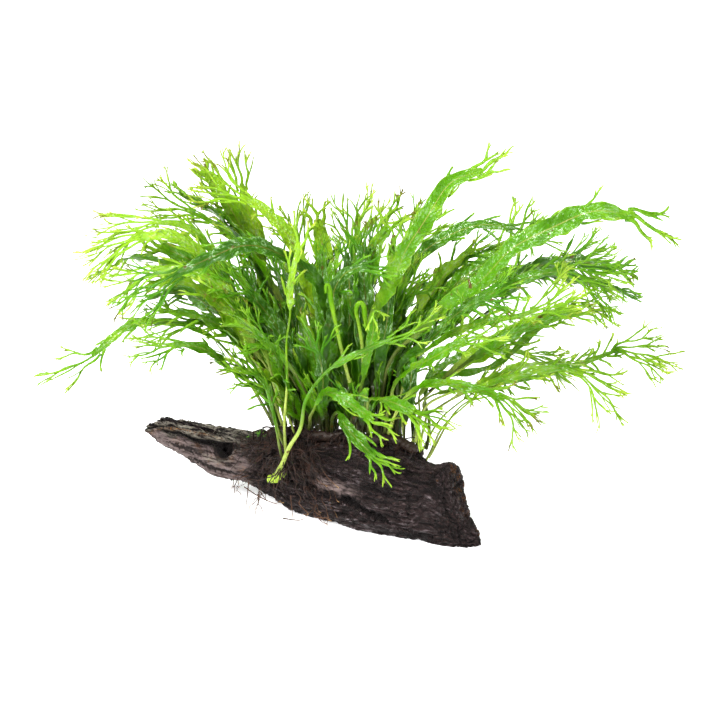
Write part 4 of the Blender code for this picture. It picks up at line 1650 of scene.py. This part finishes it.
@dataclass
class Driftwood:
    """The wood: its solid, remeshed finely and carved with grain, splits, knots and a crumbled face."""

    finish: Finish
    turn: float = radians(-35)
    voxel: float = 0.53 * MM
    settle_in: float = 0.25
    knots: tuple[Knot, ...] = (Knot(47.5, 22.6, 1.9, 0.35, 6.8, 4.5), Knot(163.0, 30.5, 1.7, 0.35, 3.6, 0.6))
    grooves: tuple[Groove, ...] = (
        Groove((118.0, 15.0), (131.0, 12.3), 0.9, 2.6), Groove((129.0, 12.0), (145.0, 8.2), 0.8, 2.8),
        Groove((160.0, 25.5), (172.0, 26.2), 0.4, 0.5), Groove((88.0, 17.5), (104.0, 16.0), 0.6, 1.1),
        Groove((14.0, 20.5), (36.0, 18.5), 0.6, 0.5), Groove((132.0, 22.5), (150.0, 20.8), 0.6, 1.0),
        Groove((30.0, 15.2), (62.0, 13.0), 0.6, 0.6), Groove((22.0, 25.5), (44.0, 25.8), 0.4, 0.3))
    top_splits: tuple[float, ...] = (-34.2, -32.3, -29.2, -26.0, -23.6, -21.0)

    def build(self) -> Piece:
        """Build the wood in place of its solid.

        Returns:
            The finished piece.
        """
        self.axis = Vector((cos(self.turn), sin(self.turn), 0))
        self.side = Vector((-self.axis.y, self.axis.x, 0))
        mesh = merged(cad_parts["driftwood"])
        data = bpy.data.meshes.new("weathered_driftwood")
        mesh.to_mesh(data)
        mesh.free()
        piece = placed("weathered_driftwood", data)
        remesh = piece.modifiers.new("fine", "REMESH")
        remesh.mode = "VOXEL"
        remesh.voxel_size = self.voxel
        remesh.use_smooth_shade = True
        even = piece.modifiers.new("even", "SMOOTH")
        even.factor = 0.5
        even.iterations = 10
        settle(piece)
        self.carve(piece.data)
        piece.data.materials.clear()
        piece.data.materials.append(self.finish.material)
        hand_over(piece, Slot.WOOD, "driftwood")
        return piece

    def carve(self, mesh: bpy.types.Mesh) -> None:
        """Carve the fine mesh and store how high, pale, broken and smooth each point is.

        Args:
            mesh: The remeshed wood.
        """
        count = len(mesh.vertices)
        places, normals = np.empty((count, 3)), np.empty((count, 3))
        mesh.vertices.foreach_get("co", places.ravel())
        mesh.vertex_normals.foreach_get("vector", normals.ravel())
        axis, side = np.array(self.axis), np.array(self.side)
        along = places @ axis / MM
        along -= along.min()
        across = places @ side / MM
        height = places[:, 2] / MM
        level = self.level(along, height)
        turned = np.column_stack([normals @ axis, normals @ side, normals[:, 2]])
        depth = np.zeros(count)
        stored = {name: np.zeros(count) for name in ("crest", "bloom", "broken", "planed")}
        for i in range(count):
            spot = Spot(along[i], across[i], height[i], level[i], Vector(turned[i]))
            planed = self.planed(spot)
            relief = self.grain(spot, planed)
            depth[i] = relief - self.cut(spot) - self.settle_in
            # crest: how high the point stands; the finish paints highlights on high crests and shade in low
            # pits and cuts
            stored["crest"][i] = 0.5 + 0.55 * relief - 0.9 * self.cut(spot)
            stored["bloom"][i] = self.bloom(spot)
            stored["broken"][i] = self.broken(spot)
            stored["planed"][i] = planed
        flat = (normals[:, 2] < -0.8) & (height < 0.4)
        depth[flat] = np.minimum(depth[flat], 0)
        places += normals * (depth * MM)[:, None]
        places[:, 2] = np.maximum(places[:, 2], 0.02 * MM)
        mesh.vertices.foreach_set("co", places.ravel())
        for name, values in stored.items():
            mesh.attributes.new(name, "FLOAT", "POINT").data.foreach_set("value", values)
        mesh.update()

    @staticmethod
    def level(along: np.ndarray, height: np.ndarray) -> np.ndarray:
        """Return how far up the wood each point is, as if the wood were equally high everywhere.

        Args:
            along: Places along the wood in millimetres.
            height: Heights in millimetres.

        Returns:
            The levelled heights in millimetres, which the grain follows.
        """
        stations = np.linspace(0, along.max(), 40)
        near = [height[np.abs(along - station) < 4] for station in stations]
        kernel = np.ones(5) / 5
        ends = ([part.min() for part in near], [part.max() for part in near])
        evened = (np.convolve(np.pad(end, 2, mode="edge"), kernel, "valid") for end in ends)
        low, high = (np.interp(along, stations, end) for end in evened)
        return (height - low) / np.maximum(high - low, 6) * 32

    @staticmethod
    def planed(spot: Spot) -> float:
        """Return how smooth a place is: the long strip low on the left, and a flat patch in the middle.

        Args:
            spot: The place.

        Returns:
            The share of smooth wood.
        """
        strip = 1 - rise(spot.along, 58, 74)
        strip *= rise(-spot.normal.y, 0.2, 0.6) * rise(26 - spot.level, 0, 8)
        off = spot.along - 114
        patch = exp(-(off / 11) ** 4 - ((spot.height - 18.6 + 0.09 * off) / 3) ** 4)
        return max(strip * 0.85, patch)

    @staticmethod
    def grain(spot: Spot, planed: float) -> float:
        """Return how far the grain stands out at a place, in millimetres.

        Args:
            spot: The place.
            planed: How smooth it is.

        Returns:
            The relief.
        """
        bend = 1.5 * sin(spot.along / 15) + 0.7 * sin(spot.along / 6.1 + 1)
        row, column = spot.level + bend * 0.5, spot.across + 0.3 * bend
        broad = noise.noise(Vector((spot.along / 26, row / 3.4, column / 3.4)))
        strand = 1 - 3.2 * abs(noise.noise(Vector((spot.along / 12, row / 1.5, column / 1.5 + 9))))
        split = 1 - abs(noise.noise(Vector((spot.along / 17, row / 2.3 + 5, column / 2.3)))) * 5.5
        crumb = noise.noise(Vector((spot.along / 1.8, row / 1.1, column / 1.1 + 3)))
        near = noise.voronoi(Vector((spot.along / 3.4 + 0.5 * crumb, row / 1.7, column / 1.7)))[0]
        crack = 1 - rise(near[1] - near[0], 0.0, 0.28)
        flaky = rise(noise.noise(Vector((spot.along / 22, row / 6, column / 6 + 20))), -0.25, 0.2)
        rough = (1 - 0.85 * planed) * (1 - 0.5 * rise(spot.normal.x, 0.6, 0.9))
        return (0.9 * broad * (0.4 + 0.6 * rough) + 0.5 * strand * rough + 0.4 * crumb * rough
                - 0.75 * crack * rough * flaky - 0.95 * max(split, 0) * (0.25 + 0.75 * rough))

    def cut(self, spot: Spot) -> float:
        """Return how deep the splits and knots cut at a place, in millimetres.

        Args:
            spot: The place.

        Returns:
            The depth, below 0 where a knot's ring stands out.
        """
        depth = 0.0
        if spot.normal.y < -0.2 or spot.normal.x > 0.5:
            for groove in self.grooves:
                depth += self.split(groove, spot)
            for knot in self.knots:
                away = hypot(spot.along - knot.along, spot.height - knot.height)
                if away < knot.reach * 2.5:
                    fade = exp(-(away / knot.reach) ** 2)
                    depth += knot.pit * exp(-(away / knot.reach * 1.9) ** 4)
                    depth -= knot.ridge * cos(2 * pi * away / knot.pitch) * fade
        if spot.along < 60 and spot.normal.z > 0.3:
            fade = rise(spot.normal.z, 0.3, 0.6) * (1 - rise(spot.along, 46, 60))
            for i, line in enumerate(self.top_splits):
                drift = line + 0.6 * sin(spot.along / 9 + i) + 0.03 * (spot.along - 20) * (-1) ** i
                depth += 1.7 * exp(-((spot.across - drift) / 0.75) ** 2) * fade
        return depth

    @staticmethod
    def split(groove: Groove, spot: Spot) -> float:
        """Return the depth of one split at a place.

        Args:
            groove: The split.
            spot: The place.

        Returns:
            The depth in millimetres.
        """
        (x0, z0), (x1, z1) = groove.start, groove.end
        run, climb = x1 - x0, z1 - z0
        share = ((spot.along - x0) * run + (spot.height - z0) * climb) / (run ** 2 + climb ** 2)
        share = min(max(share, 0), 1)
        jag = 0.5 * sin(spot.along * 1.7) + 0.3 * sin(spot.along * 3.9)
        away = hypot(spot.along - x0 - share * run, spot.height - z0 - share * climb + jag)
        width = groove.half * (0.5 + sin(pi * min(max(share, 0.02), 0.98)))
        return groove.depth * exp(-(away / width) ** 2)

    @staticmethod
    def bloom(spot: Spot) -> float:
        """Return how much pale bloom there is at a place: on the upper face of the split end."""
        return rise(spot.normal.z, 0.25, 0.7) * (1 - rise(spot.along, 44, 66))

    def broken(self, spot: Spot) -> float:
        """Return how freshly broken the wood is at a place: the right end, the knot's rim and the top edge.

        Args:
            spot: The place.

        Returns:
            The share of tan, broken wood.
        """
        corner = rise(spot.normal.x, 0.5, 0.8) * rise(spot.normal.y, -0.15, 0.3) * rise(spot.along, 158, 166)
        knot = self.knots[1]
        away = hypot(spot.along - knot.along, spot.height - knot.height)
        rim = exp(-((away - 3.4) / 0.5) ** 2)
        edge = exp(-((spot.normal.z - 0.45) / 0.2) ** 2)
        edge *= rise(spot.along, 8, 30) * (1 - rise(spot.along, 62, 80))
        streak = exp(-((spot.across + 31.2 + 0.02 * (spot.along - 22)) / 0.5) ** 2)
        streak *= (1 - rise(spot.along, 30, 52)) * max(spot.normal.z, 0)
        chance = noise.noise(Vector((spot.along / 5, spot.height / 2.5, spot.across / 2.5)))
        patch = rise(chance, 0.05, 0.35)
        return min(max(corner * patch * 0.6, rim * patch * 0.3, edge * patch * 0.25, streak), 1)


# --- Stems and roots


def core_line(node: Piece, cuts: int) -> Line:
    """Return the middle line of a bar-shaped CAD node.

    Args:
        node: The node.
        cuts: How many times the bar is cut across.

    Returns:
        The middles of the cuts, from the bar's upper end or its end towards +X.
    """
    mesh = merged(node)
    places = [vert.co.copy() for vert in mesh.verts]
    ends = max(((a, b) for a in places for b in places), key=lambda pair: (pair[0] - pair[1]).length)
    start, end = sorted(ends, key=lambda place: place.x - 2 * place.z)
    way = end - start
    line = []
    for cut in range(cuts):
        level = (0.015 + 0.97 * cut / (cuts - 1)) * way.length_squared
        crossings = []
        for edge in mesh.edges:
            a, b = ((vert.co - start).dot(way) - level for vert in edge.verts)
            if a * b < 0:
                crossings.append(edge.verts[0].co.lerp(edge.verts[1].co, a / (a - b)))
        line.append(sum(crossings, Vector()) / len(crossings))
    mesh.free()
    return line


@dataclass
class CreepingStem:
    """One length of the creeping stem: knobbly and ringed with leaf scars."""

    node: str
    finish: Finish
    growth: tuple[float, float]
    radius: float = 2.5 * MM
    sides: int = 20
    spacing: float = 0.6 * MM
    cuts: int = 16
    knob: float = 0.45 * MM
    scar_pitch: float = 5.5 * MM
    scar: float = 0.35 * MM

    def build(self) -> Line:
        """Build the stem in place of its solid.

        Returns:
            Its middle line.
        """
        middles = smooth_line(core_line(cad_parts[self.node], self.cuts), self.spacing)
        cloth = Cloth(("growth",))
        loops = []
        last = len(middles) - 1
        normal = UP
        for i, middle in enumerate(middles):
            share = i / last
            ahead = heading_at(middles, i).normalized()
            normal = (normal - ahead * normal.dot(ahead)).normalized()
            side = ahead.cross(normal)
            nearest = min(i, last - i) * self.spacing
            blunt = sqrt(min(1, (nearest + 0.1 * MM) / (2.4 * MM)))
            swell = self.scar * cos(2 * pi * i * self.spacing / self.scar_pitch) ** 8
            loop = []
            for k in range(self.sides):
                angle = 2 * pi * k / self.sides
                out = normal * cos(angle) + side * sin(angle)
                lumps = self.knob * noise.noise((middle + out * self.radius) / (1.7 * MM))
                reach = (self.radius * (1 - 0.12 * share) + lumps + swell) * blunt
                growth = self.growth[0] + (self.growth[1] - self.growth[0]) * share
                loop.append(cloth.point(middle + out * reach, growth=growth))
            loops.append(loop)
        cloth.bridge(loops)
        cloth.faces += [tuple(reversed(loops[0])), tuple(loops[-1])]
        piece = cloth.to_object(f"knobbly_{self.node}")
        for face in piece.data.polygons:
            face.use_smooth = True
        piece.data.materials.append(self.finish.material)
        hand_over(piece, Slot.STEM, self.node)
        return middles


class Fibre(Enum):
    """A kind of fibre in the mat: its scatter, its reach along the stem and its lengths in millimetres."""

    FUZZ = (0.7, 1.0, 4, 11)
    GRIP = (0.5, 1.0, 9, 22)
    FAN = (0.8, 0.3, 22, 46)
    BEARD = (0.6, 0.85, 3, 8)


@dataclass
class Roots:
    """Bundles of fine roots that grip the wood, hang from it and mat round the foot of the crown."""

    finish: Finish
    sweeper: Sweeper
    wood: Piece
    strands_per_bundle: int = 10
    step: float = 1.2 * MM
    thick: float = 0.34 * MM
    thin: float = 0.14 * MM
    clear: float = 0.15 * MM
    mat_fibres: int = 420
    front_fibres: int = 130
    seed: int = 71
    numbers: tuple[str, ...] = ("growth", "half", "lace")
    free_roots: tuple[Course, ...] = (
        ((-51.0, 15.0, -20), (-51.5, 9.0, -21), (-52.5, 1.0, -22)),
        ((-53.0, 13.0, -20), (-46.0, 8.5, -22), (-39.0, 5.5, -24), (-35.0, 6.0, -25)),
        ((-46.0, 11.0, -22), (-43.0, 7.0, -23), (-42.5, 4.0, -23)),
        ((-32.0, 9.0, -34), (-31.5, 4.0, -35), (-31.0, -1.0, -36)),
        ((-35.5, -1.0, -36), (-30.0, -1.8, -37), (-26.5, -1.5, -38), (-24.0, 1.0, -38)),
        ((-19.5, 2.0, -42), (-17.5, -1.5, -43), (-16.0, -4.0, -44)),
    )

    def build(self, stem: Line, front: Line) -> None:
        """Build the bundles in place of their solids, and the mat of fibres at the crown's foot.

        Args:
            stem: The middle line of the main stem.
            front: The middle line of its front branch.
        """
        self.draw = Random(self.seed)
        mesh = self.wood.data
        self.skin = BVHTree.FromPolygons([vert.co for vert in mesh.vertices],
                                         [tuple(face.vertices) for face in mesh.polygons])
        for name in sorted(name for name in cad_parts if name.startswith("roots_")):
            self.bundle(name)
        self.mat(stem, front)

    def bundle(self, name: str) -> None:
        """Build one bundle along its solid.

        Args:
            name: The bundle's node.
        """
        rows = smooth_line(core_line(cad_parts[name], 12), self.step)
        cloth = Cloth(self.numbers)
        free = (rows[-1] - self.skin.find_nearest(rows[-1])[0]).length > 1.5 * MM
        for number in range(self.strands_per_bundle // (2 if free else 1)):
            splay = scattered(self.draw, 1) * 1.7 * MM
            phase = self.draw.uniform(0, PHASES)
            reach = 1.0 if number < 2 else self.draw.uniform(0.55, 1.0)
            count = max(4, round(len(rows) * reach))
            points = []
            for i, row in enumerate(rows[:count]):
                share = i / (len(rows) - 1)
                spot = Vector((i * 0.22, phase * 5, number))
                wander = Vector([noise.noise(spot + off) for off in (Vector(), Vector((9, 3, 1)), UP * 7)])
                spread = 0.35 + (1.0 if number < 2 else 2.6) * share
                off = splay * spread * (0.3 if number < 1 else 1)
                points.append(row + off + wander * (1.2 + 3.2 * share) * MM)
            points = self.kept_out(points)
            thick = self.thick * self.draw.uniform(0.5, 1.25)
            self.add(cloth, points, thick, self.paleness(free), 0.25 * free)
            if number % 2 and not (free and number > 2):
                self.twigs(cloth, points, free)
        self.finish_piece(cloth, f"fibrous_{name}", name)

    def paleness(self, free: bool) -> float:
        """Return how pale a fibre's end is: straw pale where it hangs free."""
        return self.draw.uniform(0.8, 1.0) if free else self.draw.uniform(0.2, 0.55)

    def kept_out(self, points: Line) -> Line:
        """Return points moved out of the wood.

        Args:
            points: The points of a fibre.

        Returns:
            The points, each clear of the wood.
        """
        moved = []
        for point in points:
            place, normal, _, _ = self.skin.find_nearest(point)
            depth = (point - place).dot(normal)
            point = place + normal * self.clear if depth < self.clear else point
            moved.append(Vector((point.x, point.y, max(point.z, self.clear * 2))))
        return moved

    def twigs(self, cloth: Cloth, points: Line, free: bool) -> None:
        """Add side fibres to a root.

        Args:
            cloth: Where they are gathered.
            points: The root's points.
            free: Whether its end hangs free.
        """
        for _ in range(2):
            i = self.draw.randrange(len(points) // 3, len(points) - 1)
            way = (points[i + 1] - points[i]).normalized()
            way = (way + scattered(self.draw, 0.55)).normalized()
            line = [points[i]]
            for _ in range(self.draw.randint(3, 7)):
                way = (way + scattered(self.draw, 0.15) + Vector((0, 0, -0.06))).normalized()
                line.append(line[-1] + way * self.step)
            self.add(cloth, self.kept_out(line), self.thin * 1.7, self.paleness(free), 0.4 * free)

    def add(self, cloth: Cloth, points: Line, half: float, tip_growth: float,
            growth: float = 0.0) -> None:
        """Add a fibre that thins towards its end.

        Args:
            cloth: Where it is gathered.
            points: Its points.
            half: Its half width at its start.
            tip_growth: How pale its end is, up to 1.
            growth: How pale its start is.
        """
        last = len(points) - 1
        halves = [half + (self.thin - half) * i / last for i in range(last + 1)]
        grown = [growth + (tip_growth - growth) * (i / last) ** 2.5 for i in range(last + 1)]
        cloth.add_strand(Strand(points, [UP] * (last + 1), halves, grown))

    def mat(self, stem: Line, front: Line) -> None:
        """Build the mat of fibres that runs down from the main stem and its front branch and round them.

        Args:
            stem: The main stem's middle line.
            front: The front branch's middle line.
        """
        cloth = Cloth(self.numbers)
        line = sorted(stem, key=lambda place: place.x)
        for number in range(self.mat_fibres):
            kind = list(Fibre)[number % len(Fibre)]
            scatter, reach, *lengths = kind.value
            place = self.draw.betavariate(1.1, 1.2) * reach
            start = line[round(place * (len(line) - 1))] + scattered(self.draw, 1.2) * MM
            hand = 1 if self.draw.random() < 0.75 else -1
            way = Vector((self.draw.gauss(-0.57, scatter), self.draw.gauss(-0.82, 0.3),
                          self.draw.uniform(-0.3, 0.3))) * hand
            length = self.draw.uniform(*lengths) * MM
            self.cling(cloth, start, way.normalized(), length, kind is Fibre.FUZZ)
        for _ in range(self.front_fibres):
            start = self.draw.choice(front[:len(front) * 2 // 5]) + scattered(self.draw, 1.0) * MM
            way = Vector((self.draw.gauss(0.25, 0.8), self.draw.gauss(-0.6, 0.3),
                          self.draw.uniform(-0.7, 0.3)))
            length = self.draw.uniform(8, 26) * MM
            self.cling(cloth, start, way.normalized(), length, self.draw.random() < 0.2)
        for places in self.free_roots:
            points = smooth_line([seen(*place) for place in places], self.step)
            self.add(cloth, self.kept_out(points), self.thick, 1.0, 0.5)
        self.finish_piece(cloth, "root_mat")

    def cling(self, cloth: Cloth, start: Vector, way: Vector, length: float, fuzz: bool) -> None:
        """Add a fibre that runs over the wood.

        Args:
            cloth: Where it is gathered.
            start: Where it starts.
            way: The way it sets out.
            length: Its length.
            fuzz: Whether it stands off the wood instead of lying on it.
        """
        points = [start]
        for _ in range(max(4, round(length / self.step))):
            sag = Vector((0, 0, -0.05 if fuzz else -0.16))
            way = (way + scattered(self.draw, 0.22) + sag).normalized()
            point = points[-1] + way * self.step
            place, normal, _, _ = self.skin.find_nearest(point)
            off = (point - place).dot(normal)
            lift = self.draw.uniform(0.1, 0.35) * MM
            if off < lift or (not fuzz and off < 2.5 * MM):
                point = place + normal * lift
                way = (way - normal * way.dot(normal) * 0.8).normalized()
            points.append(Vector((point.x, point.y, max(point.z, self.clear * 2))))
        self.add(cloth, points, self.draw.uniform(0.18, 0.45) * MM, 0.4)

    def finish_piece(self, cloth: Cloth, name: str, *nodes: str) -> None:
        """Sweep the gathered fibres and hand the piece over.

        Args:
            cloth: The gathered fibres.
            name: The piece's name.
            *nodes: The CAD nodes that it replaces.
        """
        piece = cloth.to_object(name)
        self.sweeper.sweep(piece, self.finish, Profile.ROOT)
        hand_over(piece, Slot.ROOT, *nodes)


@dataclass
class Moss:
    """A small tuft of moss on top of the wood, beside the crown."""

    finish: Finish
    sweeper: Sweeper
    wood: Piece
    centre: tuple[float, float, float] = (-42.2, 7.0, 29.5)
    sprigs: int = 130
    spread: float = 2.6 * MM
    step: float = 0.5 * MM
    thick: float = 0.2 * MM
    seed: int = 5

    def build(self) -> None:
        """Build the tuft on the wood's skin."""
        draw = Random(self.seed)
        middle = Vector(self.centre) * MM
        cloth = Cloth(("growth", "half", "lace"))
        for _ in range(self.sprigs):
            off = Vector((draw.gauss(0, 1.3), draw.gauss(0, 0.7), 0)) * self.spread
            _, place, normal, _ = self.wood.closest_point_on_mesh(middle + off)
            way = (normal + scattered(draw, 0.5)).normalized()
            points = [place - normal * 0.2 * MM]
            for _ in range(draw.randint(3, 6)):
                way = (way + scattered(draw, 0.3)).normalized()
                points.append(points[-1] + way * self.step)
            last = len(points) - 1
            halves = [self.thick * (1 - 0.6 * i / last) for i in range(last + 1)]
            growth = [i / last for i in range(last + 1)]
            cloth.add_strand(Strand(points, [UP] * (last + 1), halves, growth))
        piece = cloth.to_object("moss_tuft")
        self.sweeper.sweep(piece, self.finish, Profile.MOSS)
        hand_over(piece, Slot.LEAF)


# --- Studio


@dataclass(frozen=True)
class Lamp:
    """A square soft light: its name, its place and size in metres, and its power in watts."""

    name: str
    place: tuple[float, float, float]
    size: float
    power: float


@dataclass
class Studio:
    """The plain pale floor, the soft light and the camera."""

    finish: Finish
    lamps: tuple[Lamp, ...] = (
        Lamp("left_soft_light", (-0.8, -0.8, 0.8), 0.4, 28.0),
        Lamp("right_soft_light", (0.75, -0.9, 0.6), 0.4, 13.0),
        Lamp("high_soft_light", (-0.1, 0.1, 1.25), 0.5, 17.0),
    )
    room_light: float = 0.22
    focus: Vector = field(default_factory=lambda: Vector((-0.87, 1.61, 64.84)) * MM)
    lens: float = 600.0
    distance: float = 5.4
    floor_size: float = 8.0

    def build(self) -> None:
        """Build the floor, the lights and the camera."""
        self.lay_floor()
        self.hang_lights()
        self.set_camera()

    def lay_floor(self) -> None:
        """Lay the floor."""
        mesh = bpy.data.meshes.new("floor")
        reach = self.floor_size / 2
        corners = [(-reach, -reach, 0), (reach, -reach, 0), (reach, reach, 0), (-reach, reach, 0)]
        mesh.from_pydata(corners, [], [(0, 1, 2, 3)])
        floor = placed("floor", mesh)
        mesh.materials.append(self.finish.material)
        LOG.info("floor laid")

    def hang_lights(self) -> None:
        """Hang the soft lights and light the room evenly."""
        for lamp in self.lamps:
            made = bpy.data.lights.new(lamp.name, "AREA")
            made.shape, made.size, made.energy = "SQUARE", lamp.size, lamp.power
            light = placed(lamp.name, made)
            light.location = lamp.place
            light.rotation_euler = (self.focus - Vector(lamp.place)).to_track_quat("-Z", "Y").to_euler()
        world = bpy.data.worlds.new("room")
        bpy.context.scene.world = world
        world.use_nodes = True
        world.node_tree.nodes.clear()
        wiring = Wiring(world.node_tree)
        glow = wiring.node("ShaderNodeBackground", None, {"Color": rgb(1, 1, 1), "Strength": self.room_light})
        wiring.node("ShaderNodeOutputWorld", None, {"Surface": glow})
        LOG.info("%d lights hung", len(self.lamps))

    def set_camera(self) -> None:
        """Set the camera at the photograph's angle."""
        camera = bpy.data.cameras.new("camera")
        camera.lens = self.lens
        camera.sensor_width = 36
        camera.dof.use_dof = False
        view = placed("camera", camera)
        away = Vector((0, -cos(VIEW_TILT), sin(VIEW_TILT)))
        view.location = self.focus + away * self.distance
        view.rotation_euler = (-away).to_track_quat("-Z", "Y").to_euler()
        bpy.context.scene.camera = view
        bpy.context.scene.view_settings.view_transform = "Standard"
        LOG.info("camera set")


def main() -> None:
    """Build every sub-assembly in order."""
    logging.basicConfig(level=logging.INFO, format="%(message)s")
    leaf, bark, sweeper = LeafFinish(), StemFinish(), Sweeper()
    wood = Driftwood(WoodFinish()).build()
    main_stem = CreepingStem("rhizome", bark, (0.0, 0.2)).build()
    back_stem = CreepingStem("rhizome_back_branch", bark, (0.0, 0.3)).build()
    front_stem = CreepingStem("rhizome_front_branch", bark, (-0.7, 1.8), radius=1.95 * MM, knob=MM).build()
    Roots(RootFinish(), sweeper, wood).build(main_stem, front_stem)
    Moss(MossFinish(), sweeper, wood).build()
    Fronds(leaf, sweeper).build()
    Crown(leaf, sweeper).build([main_stem, back_stem])
    YoungShoots(leaf, sweeper).build()
    Studio(FloorFinish()).build()


if __name__ == "__main__":
    main()
